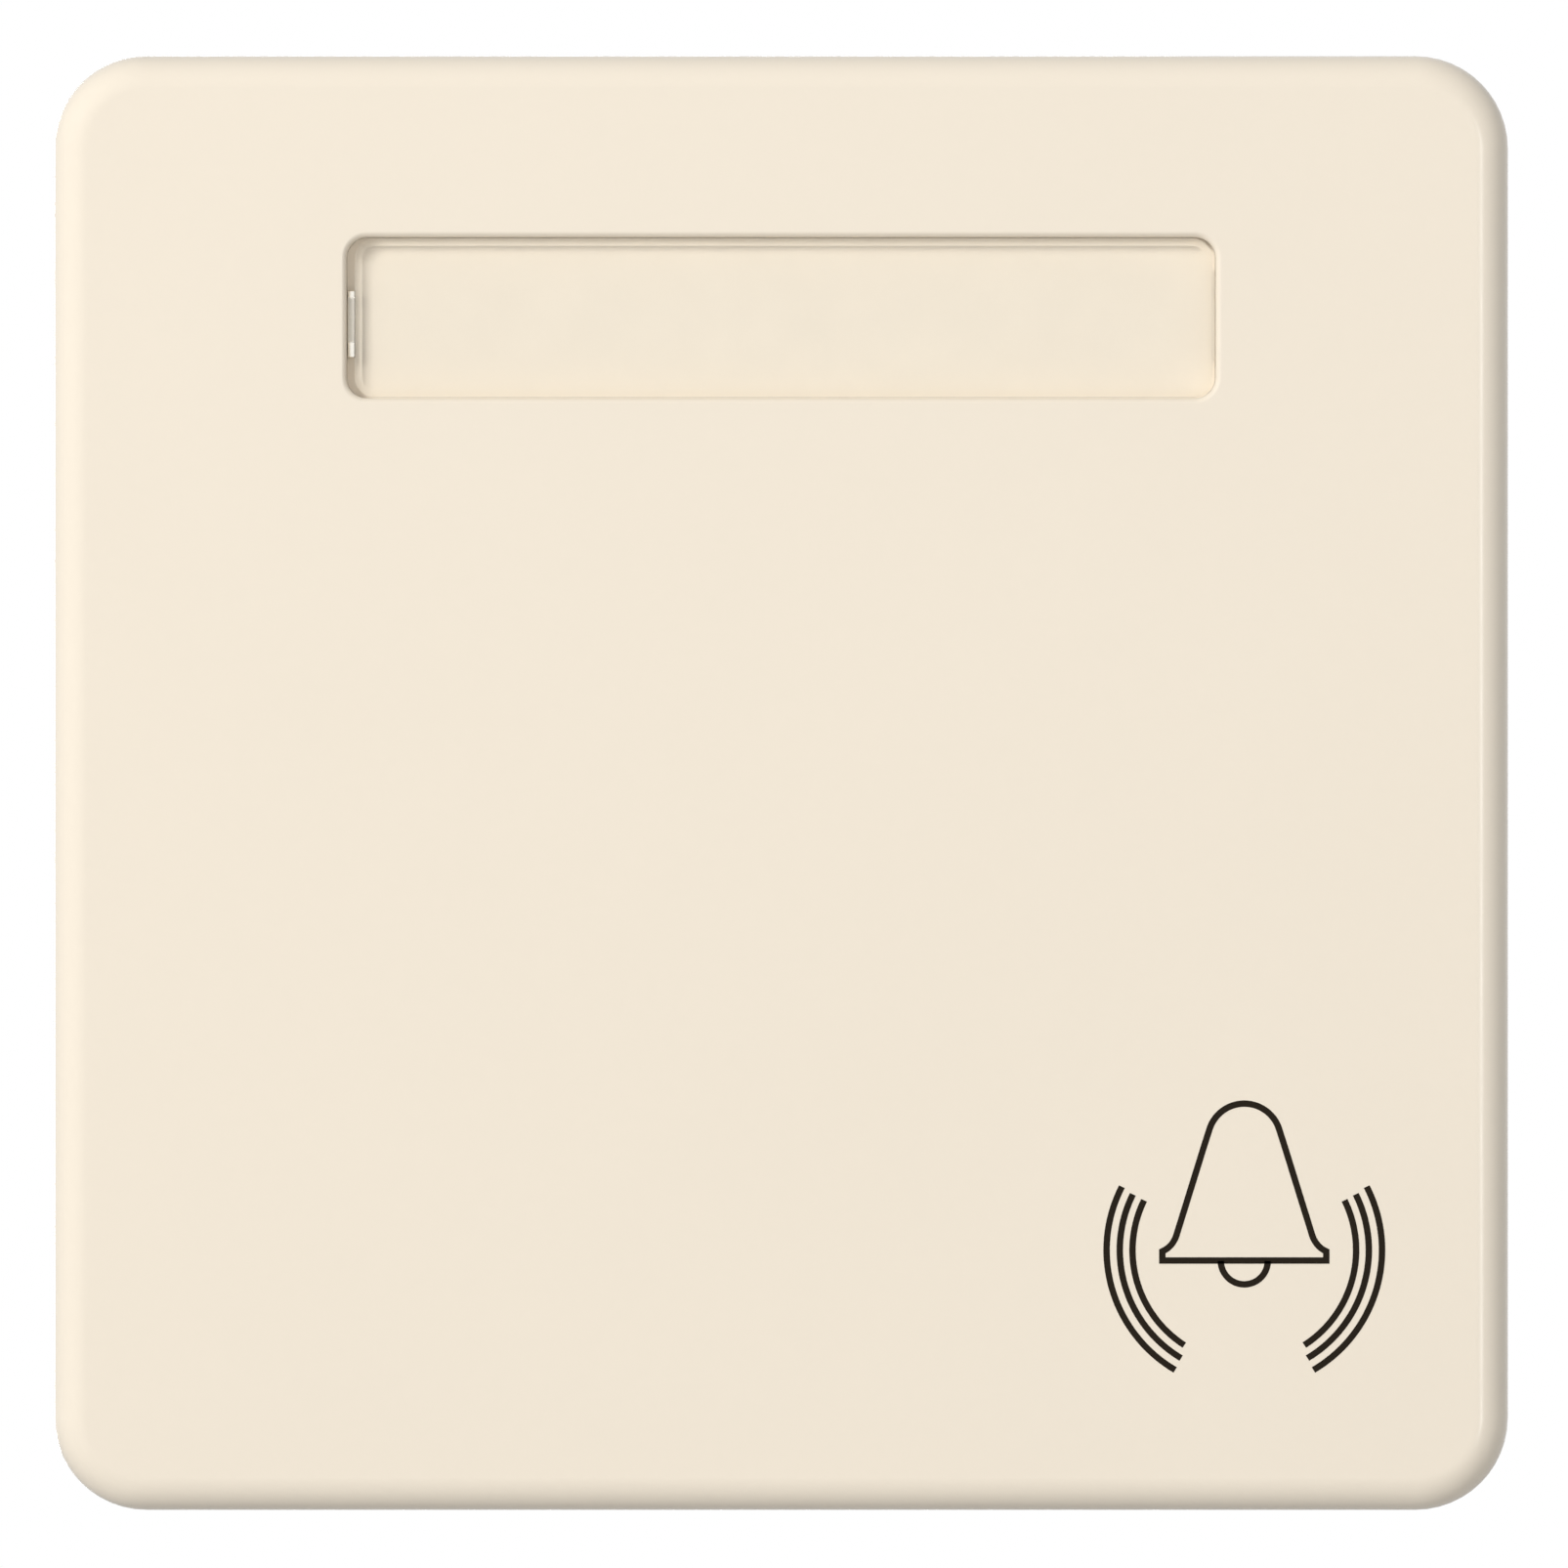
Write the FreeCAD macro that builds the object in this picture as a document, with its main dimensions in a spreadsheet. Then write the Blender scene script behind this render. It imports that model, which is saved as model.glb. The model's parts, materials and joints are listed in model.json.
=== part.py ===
"""Flush doorbell push button with a square full-face plate.

The plate rocks on a sprung insert that is fixed over a round wall box.
Axes: +X right and +Z up as seen from the room, +Y into the wall.
Origin: centre of the support ring, on its back face, which is the wall's surface.
A "level" is a distance in front of the wall (minus Y), and a "depth" is one behind it.
"""

import FreeCAD, Part
import math
import os
import re

import Sketcher

Vector = FreeCAD.Vector

# Driving dimensions, in millimetres and degrees
SIZES = {
    # Plate, seen from the room
    "plate_width": 70.0,
    "plate_height": 70.0,
    "plate_corner": 4.45,
    "plate_edge_round": 1.6,
    "plate_front": 11.5,
    "plate_wall": 1.8,
    "plate_embed": 0.45,
    "skirt_wall": 1.5,
    "skirt_back": 4.0,
    "rib_wall": 1.0,
    "rib_across": 15.0,
    "rib_up": 11.0,
    # Name window in the plate
    "window_width": 41.8,
    "window_height": 7.74,
    "window_drop": 12.62,
    "window_corner": 1.0,
    "window_recess": 1.8,
    "window_rim_bevel": 0.2,
    "tray_wall": 1.5,
    "tray_floor": 1.0,
    "label_thick": 0.3,
    "glaze_thick": 1.2,
    "glaze_sunk": 0.2,
    "glaze_gap": 0.06,
    "glaze_gap_right": 0.17,
    "glaze_gap_left": 0.4,
    "glaze_bevel": 0.35,
    "latch_width": 3.2,
    "latch_thick": 0.8,
    "latch_clear": 0.05,
    "latch_drop": 0.3,
    "tongue_long": 0.8,
    "tongue_thick": 0.5,
    "tongue_width": 4.0,
    "tongue_clear": 0.25,
    # Rocking actuator that carries the plate
    "pivot_level": 4.6,
    "journal_radius": 1.5,
    "bearing_clear": 0.1,
    "actuator_inset": 2.7,
    "actuator_corner": 2.0,
    "actuator_thick": 2.4,
    "actuator_sunk": 3.5,
    "cheek_wall": 1.5,
    "cheek_radius": 1.4,
    "press_angle": 4.0,
    "nose_radius": 1.2,
    "nose_long": 2.4,
    "touch_gap": 0.05,
    "stop_across": 7.5,
    "stop_width": 3.0,
    "stop_height": 2.0,
    "stop_inset": 3.5,
    # Snap hooks of the plate, in sockets of the actuator
    "hook_across": 10.5,
    "hook_up": 7.5,
    "hook_post": 2.0,
    "hook_width": 3.4,
    "hook_reach": 0.7,
    "hook_long": 1.1,
    "hook_clear": 0.2,
    # Support ring and its fixing slots
    "ring_width": 68.6,
    "ring_chamfer": 11.0,
    "ring_thick": 1.0,
    "ring_hole_clear": 0.5,
    "ring_hole_corner": 3.0,
    "fixing_spacing": 60.0,
    "fixing_slot_radius": 1.8,
    "fixing_slot_length": 6.4,
    "rivet_offset": 3.2,
    "rivet_radius": 1.2,
    "rivet_head_radius": 2.1,
    "rivet_head_thick": 0.6,
    "rivet_clear": 0.05,
    # Housing behind the ring
    "flange_overhang": 5.5,
    "flange_chamfer": 5.0,
    "flange_thick": 2.0,
    "box_width": 39.0,
    "box_height": 36.0,
    "box_corner": 2.0,
    "box_depth": 21.0,
    "box_wall": 1.5,
    "contact_room_width": 17.0,
    # Cover in front of the housing, with bearings and plunger guide
    "cover_front": 3.0,
    "cover_wall": 1.5,
    "cover_skirt": 2.0,
    "cover_clear": 0.3,
    "ear_wall": 2.0,
    "ear_width": 7.0,
    "ear_front": 7.0,
    "ear_gap": 0.3,
    "ear_inset": 0.3,
    "ear_slot": 2.7,
    "guide_wall": 1.05,
    "guide_clear": 0.15,
    "guide_back": 0.7,
    # Plunger, contacts and return spring
    "plunger_inset": 3.5,
    "plunger_radius": 2.0,
    "collar_width": 7.0,
    "collar_height": 5.0,
    "collar_front": 1.0,
    "collar_thick": 1.2,
    "spigot_radius": 1.1,
    "spigot_long": 2.6,
    "bridge_clear": 1.3,
    "bridge_height": 4.0,
    "bridge_thick": 0.5,
    "contact_inset": 0.2,
    "contact_radius": 1.2,
    "contact_thick": 0.6,
    "contact_spare": 0.03,
    "spring_wire": 0.45,
    "spring_radius": 1.8,
    "spring_back": 11.0,
    "spring_turns": 4.0,
    "spring_seat_width": 6.2,
    "spring_pin_long": 1.5,
    # Conductor bars and screwless clamps
    "bar_thick": 0.8,
    "bar_tab_width": 4.0,
    "bar_tab_reach": 1.6,
    "bar_rear_gap": 1.5,
    "bar_top_gap": 2.5,
    "bar_clear": 0.1,
    "entry_size": 3.4,
    "entry_funnel": 0.5,
    "entry_offset": 2.6,
    "entry_drop": 7.5,
    "clamp_thick": 0.4,
    "clamp_width": 5.0,
    "clamp_bend": 1.0,
    "clamp_leg_long": 7.5,
    "clamp_rear_gap": 4.0,
    "clamp_angle": 35.0,
    "clamp_tip_gap": 0.3,
    # Release levers for the clamps
    "lever_inset": 2.4,
    "lever_stem_width": 2.6,
    "lever_stem_height": 3.0,
    "lever_bar_width": 2.2,
    "lever_bar_reach": 2.0,
    "lever_bar_thick": 1.8,
    "lever_out": 1.6,
    "lever_clear": 0.2,
    # Spreading claws and their screws
    "claw_gap": 0.3,
    "claw_screw_offset": 3.2,
    "claw_bridge_long": 5.9,
    "claw_width": 10.0,
    "claw_thick": 1.3,
    "claw_front": 5.0,
    "claw_back": 17.6,
    "claw_tooth_long": 4.3,
    "claw_fork": 4.4,
    "claw_hole_radius": 1.95,
    "screw_radius": 1.5,
    "screw_clear": 0.2,
    "screw_end": 19.5,
    "screw_head_radius": 2.8,
    "screw_head_thick": 2.0,
    "screw_recess_long": 3.2,
    "screw_recess_wide": 0.8,
    "screw_recess_deep": 1.1,
}

# Levels, depths and fits worked out from the driving dimensions
FITS = {
    "window_up": "plate_height / 2 - window_drop",
    "plate_inner": "plate_front - plate_wall",
    "tray_front": "plate_front - window_recess",
    "tray_back": "tray_front - tray_floor",
    "glaze_front": "plate_front - glaze_sunk",
    "glaze_back": "glaze_front - glaze_thick",
    "glaze_left": "-window_width / 2 + glaze_gap_left",
    "glaze_right": "window_width / 2 - glaze_gap_right",
    "tongue_end": "glaze_right + tongue_long",
    "tongue_pivot": "tongue_end - tongue_thick / 2",
    "tongue_room_end": "tongue_end + 2 * tongue_clear",
    "tongue_room_front": "glaze_back + tongue_thick + tongue_clear",
    "ring_hole_width": "box_width + 2 * ring_hole_clear",
    "ring_hole_height": "box_height + 2 * ring_hole_clear",
    "cover_width": "ring_hole_width - 2 * cover_clear",
    "cover_height": "ring_hole_height - 2 * cover_clear",
    "flange_width": "ring_hole_width",
    "flange_height": "box_height + 2 * flange_overhang",
    "rivet_up": "box_height / 2 + rivet_offset",
    "actuator_width": "cover_width - 2 * (ear_inset + ear_wall + ear_gap)",
    "actuator_height": "cover_height - 2 * actuator_inset",
    "actuator_front": "plate_front - actuator_sunk",
    "actuator_back": "actuator_front - actuator_thick",
    "cheek_out": "actuator_width / 2",
    "cheek_in": "cheek_out - cheek_wall",
    "ear_in": "cheek_out + ear_gap",
    "ear_out": "ear_in + ear_wall",
    "nose_back": "pivot_level - nose_radius",
    "plunger_front": "nose_back - touch_gap",
    "plunger_drop": "room_up - plunger_inset",
    "plunger_travel": "plunger_drop * press_angle * pi / 180",
    "stop_up": "actuator_height / 2 - stop_inset",
    "stop_rest": "cover_front + touch_gap",
    "stop_press": "cover_front + touch_gap + (stop_up + stop_height / 2) * sin(press_angle)",
    "hook_front": "actuator_back - touch_gap",
    "hook_back": "hook_front - hook_long",
    "hook_out": "hook_across + hook_post / 2",
    "hook_in": "hook_across - hook_post / 2",
    "guide_radius": "plunger_radius + guide_clear",
    "room_across": "box_width / 2 - box_wall",
    "room_up": "box_height / 2 - box_wall",
    "room_back": "box_depth - box_wall",
    "contact_room_across": "contact_room_width / 2",
    "terminal_room_in": "contact_room_across + box_wall",
    "bridge_width": "contact_room_width - 2 * bridge_clear",
    "contact_across": "bridge_width / 2 - contact_radius - contact_inset",
    "bridge_front": "collar_front + collar_thick",
    "bridge_back": "bridge_front + bridge_thick",
    "contact_closed": "bridge_back + contact_thick + plunger_travel + contact_spare",
    "tab_front": "contact_closed + contact_thick",
    "tab_back": "tab_front + bar_thick",
    "bar_out": "terminal_room_in + bar_thick",
    "bar_tab_end": "contact_across - bar_tab_reach",
    "bar_back": "room_back - bar_rear_gap",
    "bar_top": "room_up - bar_top_gap",
    "entry_across": "terminal_room_in + entry_offset",
    "entry_up": "room_up - entry_drop",
    "spring_length": "spring_back - bridge_back",
    "clamp_centre": "room_across - clamp_thick - clamp_bend",
    "clamp_bend_depth": "room_back - clamp_rear_gap",
    "clamp_leg_front": "clamp_bend_depth - clamp_leg_long",
    "lever_front": "clamp_bend_depth + clamp_bend + clamp_thick + 2 * lever_clear",
    "lever_across": "room_across - lever_inset",
    "lever_bar_height": "2 * (entry_up + lever_bar_reach)",
    "claw_inner": "flange_width / 2 + claw_gap",
    "claw_across": "claw_inner + claw_screw_offset",
    "claw_outer": "claw_inner + claw_bridge_long",
    "claw_tooth": "claw_inner + claw_tooth_long",
    "claw_bridge_front": "claw_back - claw_thick",
}

os.makedirs("parts", exist_ok=True)
doc = FreeCAD.newDocument("doorbell_push_button")


def make_sheet(name, cells, write):
    """Fill a sheet with one named cell a line."""
    sheet = doc.addObject("Spreadsheet::Sheet", name)
    for row, (alias, content) in enumerate(cells.items(), start=1):
        sheet.set(f"A{row}", alias)
        sheet.set(f"B{row}", write(content))
        sheet.setAlias(f"B{row}", alias)
    return sheet


SHEET_OF = {name: "sizes." for name in SIZES}
SHEET_OF.update({name: "fits." for name in FITS})


def cells(text):
    """Put the sheet's name before each size that a formula names."""
    return re.sub(r"[a-z_]+", lambda word: SHEET_OF.get(word[0], "") + word[0], str(text))


sizes = make_sheet("sizes", SIZES, str)
fits = make_sheet("fits", FITS, lambda formula: "=" + cells(formula).replace("fits.", ""))
doc.recompute()


def number(text):
    """Work out a formula's present value."""
    return float(sizes.evalExpression(cells(text)))


# Drawing and shaping helpers


def new_body(label):
    """Start the body of one piece."""
    body = doc.addObject("PartDesign::Body", label)
    body.Label = label
    body.Placement = FreeCAD.Placement()
    body.AllowCompound = True
    return body


def new_sketch(body, name, role, offset):
    """Attach a sketch to an origin plane of its body, moved along the plane's normal."""
    sketch = body.newObject("Sketcher::SketchObject", name)
    plane = next(item for item in body.Origin.OriginFeatures if item.Role == role)
    sketch.AttachmentSupport = (plane, [""])
    sketch.MapMode = "FlatFace"
    sketch.setExpression(".AttachmentOffset.Base.z", cells(offset))
    return sketch


def wall_sketch(body, name, level):
    """Sketch parallel to the wall: X across, Z up, at a level in front of the wall."""
    return new_sketch(body, name, "XZ_Plane", level)


def side_sketch(body, name, across):
    """Sketch seen from the right: Y across, Z up, at a place along X."""
    return new_sketch(body, name, "YZ_Plane", across)


def plan_sketch(body, name, height):
    """Sketch seen from above: X across, Y up the page, at a height."""
    return new_sketch(body, name, "XY_Plane", height)


def bind(sketch, index, text):
    """Tie one measured constraint to its formula."""
    name = f"size_{index}"
    sketch.renameConstraint(index, name)
    sketch.setExpression("Constraints." + name, cells(text))


def fix_point(sketch, shape, end, across=None, up=None):
    """Tie one end or the centre of a drawn shape to its place."""
    for kind, text in (("DistanceX", across), ("DistanceY", up)):
        if text is not None:
            constraint = Sketcher.Constraint(kind, -1, 1, shape, end, number(text))
            bind(sketch, sketch.addConstraint(constraint), text)


def fix_radius(sketch, shape, text):
    """Tie the radius of a circle or arc."""
    bind(sketch, sketch.addConstraint(Sketcher.Constraint("Radius", shape, number(text))), text)


def draw_polygon(sketch, points):
    """Draw a closed outline of straight lines through the given corners."""
    corners = [Vector(number(across), number(up), 0) for across, up in points]
    lines = [
        sketch.addGeometry(Part.LineSegment(corner, corners[(index + 1) % len(corners)]), False)
        for index, corner in enumerate(corners)
    ]
    for index, line in enumerate(lines):
        following = lines[(index + 1) % len(lines)]
        sketch.addConstraint(Sketcher.Constraint("Coincident", line, 2, following, 1))
        fix_point(sketch, line, 1, *points[index])


def draw_box(sketch, left, right, low, high):
    """Draw a square-cornered box."""
    draw_polygon(sketch, [(left, low), (right, low), (right, high), (left, high)])


def draw_centred_box(sketch, across, up, width, height):
    """Draw a square-cornered box about its centre."""
    draw_box(
        sketch,
        f"{across} - ({width}) / 2",
        f"{across} + ({width}) / 2",
        f"{up} - ({height}) / 2",
        f"{up} + ({height}) / 2",
    )


def draw_rounded_box(sketch, left, right, low, high, corner):
    """Draw a box with four equal round corners."""
    x_low, x_high, y_low, y_high = (number(text) for text in (left, right, low, high))
    radius = number(corner)
    turns = [
        (x_high - radius, y_low + radius, -90),
        (x_high - radius, y_high - radius, 0),
        (x_low + radius, y_high - radius, 90),
        (x_low + radius, y_low + radius, 180),
    ]
    sides = [
        (Vector(x_low + radius, y_low, 0), Vector(x_high - radius, y_low, 0), "Horizontal"),
        (Vector(x_high, y_low + radius, 0), Vector(x_high, y_high - radius, 0), "Vertical"),
        (Vector(x_high - radius, y_high, 0), Vector(x_low + radius, y_high, 0), "Horizontal"),
        (Vector(x_low, y_high - radius, 0), Vector(x_low, y_low + radius, 0), "Vertical"),
    ]
    lines = [sketch.addGeometry(Part.LineSegment(first, last), False) for first, last, _ in sides]
    arcs = []
    for x_centre, y_centre, start in turns:
        circle = Part.Circle(Vector(x_centre, y_centre, 0), Vector(0, 0, 1), radius)
        arc = Part.ArcOfCircle(circle, math.radians(start), math.radians(start + 90))
        arcs.append(sketch.addGeometry(arc, False))
    for index in range(4):
        sketch.addConstraint(Sketcher.Constraint(sides[index][2], lines[index]))
        sketch.addConstraint(Sketcher.Constraint("Tangent", lines[index], 2, arcs[index], 1))
        following = lines[(index + 1) % 4]
        sketch.addConstraint(Sketcher.Constraint("Tangent", arcs[index], 2, following, 1))
    for arc in arcs[1:]:
        sketch.addConstraint(Sketcher.Constraint("Equal", arcs[0], arc))
    fix_radius(sketch, arcs[0], corner)
    fix_point(sketch, lines[0], 1, up=low)
    fix_point(sketch, lines[1], 1, across=right)
    fix_point(sketch, lines[2], 1, up=high)
    fix_point(sketch, lines[3], 1, across=left)


def draw_circle(sketch, across, up, radius):
    """Draw a circle."""
    centre = Vector(number(across), number(up), 0)
    circle = sketch.addGeometry(Part.Circle(centre, Vector(0, 0, 1), number(radius)), False)
    fix_point(sketch, circle, 3, across, up)
    fix_radius(sketch, circle, radius)


def draw_slot(sketch, across, up, length, radius, upright):
    """Draw a slot with round ends about its centre."""
    half = f"(({length}) / 2 - ({radius}))"
    if upright:
        ends = [(across, f"{up} - {half}", 180), (across, f"{up} + {half}", 0)]
    else:
        ends = [(f"{across} + {half}", up, -90), (f"{across} - {half}", up, 90)]
    arcs = []
    for x_text, y_text, start in ends:
        centre = Vector(number(x_text), number(y_text), 0)
        circle = Part.Circle(centre, Vector(0, 0, 1), number(radius))
        arc = Part.ArcOfCircle(circle, math.radians(start), math.radians(start + 180))
        arcs.append((sketch.addGeometry(arc, False), arc))
    for index in range(2):
        arc, shape = arcs[index]
        following, next_shape = arcs[1 - index]
        line = sketch.addGeometry(Part.LineSegment(shape.EndPoint, next_shape.StartPoint), False)
        sketch.addConstraint(Sketcher.Constraint("Tangent", arc, 2, line, 1))
        sketch.addConstraint(Sketcher.Constraint("Tangent", line, 2, following, 1))
        fix_point(sketch, arc, 3, *ends[index][:2])
    sketch.addConstraint(Sketcher.Constraint("Equal", arcs[0][0], arcs[1][0]))
    fix_radius(sketch, arcs[0][0], radius)


def pad(sketch, length, both_ways=False):
    """Raise material from a sketch along its normal."""
    body = sketch.getParentGeoFeatureGroup()
    feature = body.newObject("PartDesign::Pad", sketch.Label + "_pad")
    feature.Profile = sketch
    feature.Midplane = both_ways
    feature.setExpression("Length", cells(length))
    doc.recompute()
    return feature


def pocket(sketch, length, both_ways=False, forward=False):
    """Cut a sketch away against its normal, and see that material has gone."""
    body = sketch.getParentGeoFeatureGroup()
    before = body.Shape.Volume
    feature = body.newObject("PartDesign::Pocket", sketch.Label + "_pocket")
    feature.Profile = sketch
    feature.Midplane = both_ways
    feature.Reversed = forward
    feature.setExpression("Length", cells(length))
    doc.recompute()
    if not body.Shape.Volume < before - 1e-6:
        raise ValueError(feature.Label + " cuts nothing")
    return feature


def dress(body, kind, name, size, wanted):
    """Round or chamfer the edges of a body that the test picks out."""
    base = body.Tip
    names = [f"Edge{index}" for index, edge in enumerate(base.Shape.Edges, start=1) if wanted(edge)]
    if not names:
        raise ValueError(name + " finds no edge")
    feature = body.newObject("PartDesign::" + kind, name)
    feature.Base = (base, names)
    feature.setExpression("Radius" if kind == "Fillet" else "Size", cells(size))
    doc.recompute()
    return feature


def lies_at(edge, axis, text):
    """Tell whether an edge lies flat at one place along an axis."""
    box = edge.BoundBox
    low, high = {"x": (box.XMin, box.XMax), "y": (box.YMin, box.YMax), "z": (box.ZMin, box.ZMax)}[axis]
    place = number(text)
    return abs(low - place) < 1e-4 and abs(high - place) < 1e-4


# Plate: one moulding with the name recess, ribs and snap hooks


def make_rocker_cover():
    body = new_body("rocker_cover")
    outline = wall_sketch(body, "plate_outline", "skirt_back")
    draw_rounded_box(
        outline, "-plate_width / 2", "plate_width / 2", "-plate_height / 2", "plate_height / 2",
        "plate_corner",
    )
    pad(outline, "plate_front - skirt_back")
    dress(body, "Fillet", "plate_edge", "plate_edge_round", lambda edge: lies_at(edge, "y", "-plate_front"))

    inside = wall_sketch(body, "plate_inside", "skirt_back")
    draw_rounded_box(
        inside,
        "-plate_width / 2 + skirt_wall", "plate_width / 2 - skirt_wall",
        "-plate_height / 2 + skirt_wall", "plate_height / 2 - skirt_wall",
        "plate_corner - skirt_wall",
    )
    pocket(inside, "plate_inner - skirt_back", forward=True)

    tray = wall_sketch(body, "window_tray", "tray_back")
    draw_centred_box(
        tray, "0", "window_up", "window_width + 2 * tray_wall", "window_height + 2 * tray_wall",
    )
    pad(tray, "plate_inner - tray_back + plate_embed")

    upright_ribs = wall_sketch(body, "upright_ribs", "actuator_front")
    for side in ("-1", "1"):
        draw_box(
            upright_ribs,
            f"{side} * rib_across - rib_wall / 2", f"{side} * rib_across + rib_wall / 2",
            "-plate_height / 2 + skirt_wall / 2", "window_up - window_height / 2 - tray_wall / 2",
        )
    pad(upright_ribs, "plate_inner - actuator_front + plate_embed")
    level_ribs = wall_sketch(body, "level_ribs", "actuator_front")
    for side in ("-1", "1"):
        draw_box(
            level_ribs,
            "-plate_width / 2 + skirt_wall / 2", "plate_width / 2 - skirt_wall / 2",
            f"{side} * rib_up - rib_wall / 2", f"{side} * rib_up + rib_wall / 2",
        )
    pad(level_ribs, "plate_inner - actuator_front + plate_embed")

    recess = wall_sketch(body, "window_recess_outline", "plate_front")
    draw_rounded_box(
        recess,
        "-window_width / 2", "window_width / 2",
        "window_up - window_height / 2", "window_up + window_height / 2",
        "window_corner",
    )
    pocket(recess, "window_recess")

    def is_rim(edge):
        reach = max(abs(edge.BoundBox.XMin), abs(edge.BoundBox.XMax))
        return lies_at(edge, "y", "-plate_front") and reach < number("window_width / 2 + tray_wall")

    dress(body, "Chamfer", "window_rim", "window_rim_bevel", is_rim)
    undercut = wall_sketch(body, "tongue_room", "tray_front")
    draw_box(
        undercut,
        "window_width / 2 - tongue_clear", "tongue_room_end",
        "window_up - tongue_width / 2 - tongue_clear", "window_up + tongue_width / 2 + tongue_clear",
    )
    pocket(undercut, "tongue_room_front - tray_front", forward=True)

    for name, up in (("lower", "-hook_up"), ("upper", "hook_up")):
        hooks = plan_sketch(body, name + "_hooks", f"{up} - hook_width / 2")
        for side in ("-1", "1"):
            draw_polygon(
                hooks,
                [
                    (f"{side} * hook_in", "-plate_inner - plate_embed"),
                    (f"{side} * hook_in", "-hook_back"),
                    (f"{side} * (hook_out + hook_reach / 4)", "-hook_back"),
                    (f"{side} * (hook_out + hook_reach)", "-hook_front + hook_long / 3"),
                    (f"{side} * (hook_out + hook_reach)", "-hook_front"),
                    (f"{side} * hook_out", "-hook_front"),
                    (f"{side} * hook_out", "-plate_inner - plate_embed"),
                ],
            )
        pad(hooks, "hook_width")
    return body


def make_label_strip():
    body = new_body("label_strip")
    outline = wall_sketch(body, "label_outline", "tray_front")
    draw_rounded_box(
        outline,
        "-window_width / 2 + glaze_gap", "window_width / 2 - glaze_gap",
        "window_up - window_height / 2 + glaze_gap", "window_up + window_height / 2 - glaze_gap",
        "window_corner - glaze_gap",
    )
    pad(outline, "label_thick")
    return body


def make_label_window():
    body = new_body("label_window")
    pane = wall_sketch(body, "pane_outline", "glaze_back")
    draw_rounded_box(
        pane,
        "glaze_left", "glaze_right",
        "window_up - window_height / 2 + glaze_gap", "window_up + window_height / 2 - glaze_gap",
        "window_corner - glaze_gap",
    )
    pad(pane, "glaze_thick")
    dress(body, "Chamfer", "pane_edge", "glaze_bevel", lambda edge: lies_at(edge, "y", "-glaze_front"))
    tongue = wall_sketch(body, "tongue", "glaze_back")
    draw_box(
        tongue,
        "glaze_right - tongue_long", "tongue_pivot",
        "window_up - tongue_width / 2", "window_up + tongue_width / 2",
    )
    pad(tongue, "tongue_thick")
    bead = plan_sketch(body, "tongue_bead", "window_up - tongue_width / 2")
    draw_circle(bead, "tongue_pivot", "-glaze_back - tongue_thick / 2", "tongue_thick / 2")
    pad(bead, "tongue_width")
    latch = wall_sketch(body, "latch", "glaze_back")
    draw_box(
        latch,
        "-window_width / 2 + latch_clear", "glaze_left + glaze_gap_left",
        "window_up - latch_drop - latch_width / 2", "window_up - latch_drop + latch_width / 2",
    )
    pad(latch, "latch_thick")
    return body


# Actuator: cheeks with journals, sockets for the hooks, push nose and stops


def make_actuator():
    body = new_body("actuator")
    plate = wall_sketch(body, "actuator_plate", "actuator_back")
    draw_rounded_box(
        plate, "-actuator_width / 2", "actuator_width / 2", "-actuator_height / 2", "actuator_height / 2",
        "actuator_corner",
    )
    pad(plate, "actuator_thick")
    for name, inner, outer in (("left", "-cheek_out", "-cheek_in"), ("right", "cheek_in", "cheek_out")):
        cheek = side_sketch(body, name + "_cheek", inner)
        draw_box(cheek, "-actuator_back - actuator_thick / 2", "-pivot_level", "-cheek_radius", "cheek_radius")
        pad(cheek, "cheek_wall")
        boss = side_sketch(body, name + "_cheek_end", inner)
        draw_circle(boss, "-pivot_level", "0", "cheek_radius")
        pad(boss, "cheek_wall")
    for name, start in (("left", "-ear_out"), ("right", "cheek_out - cheek_wall / 2")):
        journal = side_sketch(body, name + "_journal", start)
        draw_circle(journal, "-pivot_level", "0", "journal_radius")
        pad(journal, "ear_out - cheek_out + cheek_wall / 2")

    nose = side_sketch(body, "push_nose", "-nose_long / 2")
    draw_box(
        nose, "-actuator_back - actuator_thick / 2", "-nose_back - nose_radius",
        "-plunger_drop - nose_radius", "-plunger_drop + nose_radius",
    )
    pad(nose, "nose_long")
    nose_tip = side_sketch(body, "push_nose_tip", "-nose_long / 2")
    draw_circle(nose_tip, "-nose_back - nose_radius", "-plunger_drop", "nose_radius")
    pad(nose_tip, "nose_long")
    for name, up, level in (("upper", "stop_up", "stop_rest"), ("lower", "-stop_up", "stop_press")):
        stops = wall_sketch(body, name + "_stops", level)
        for side in ("-1", "1"):
            draw_centred_box(stops, f"{side} * stop_across", up, "stop_width", "stop_height")
        pad(stops, f"actuator_back + actuator_thick / 2 - {level}")

    sockets = wall_sketch(body, "hook_sockets", "actuator_front")
    for side in ("-1", "1"):
        for up in ("-hook_up", "hook_up"):
            draw_box(
                sockets,
                f"{side} * (hook_in - hook_reach - hook_clear)", f"{side} * (hook_out + hook_clear)",
                f"{up} - hook_width / 2 - hook_clear", f"{up} + hook_width / 2 + hook_clear",
            )
    pocket(sockets, "actuator_thick")
    return body


# Contact mechanism that the nose works


def make_plunger():
    body = new_body("plunger")
    stem = wall_sketch(body, "plunger_stem", "-collar_front")
    draw_circle(stem, "0", "-plunger_drop", "plunger_radius")
    pad(stem, "plunger_front + collar_front")
    collar = wall_sketch(body, "plunger_collar", "-collar_front - collar_thick")
    draw_centred_box(collar, "0", "-plunger_drop", "collar_width", "collar_height")
    pad(collar, "collar_thick")
    spigot = wall_sketch(body, "plunger_spigot", "-bridge_front - spigot_long")
    draw_circle(spigot, "0", "-plunger_drop", "spigot_radius")
    pad(spigot, "spigot_long")
    return body


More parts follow.
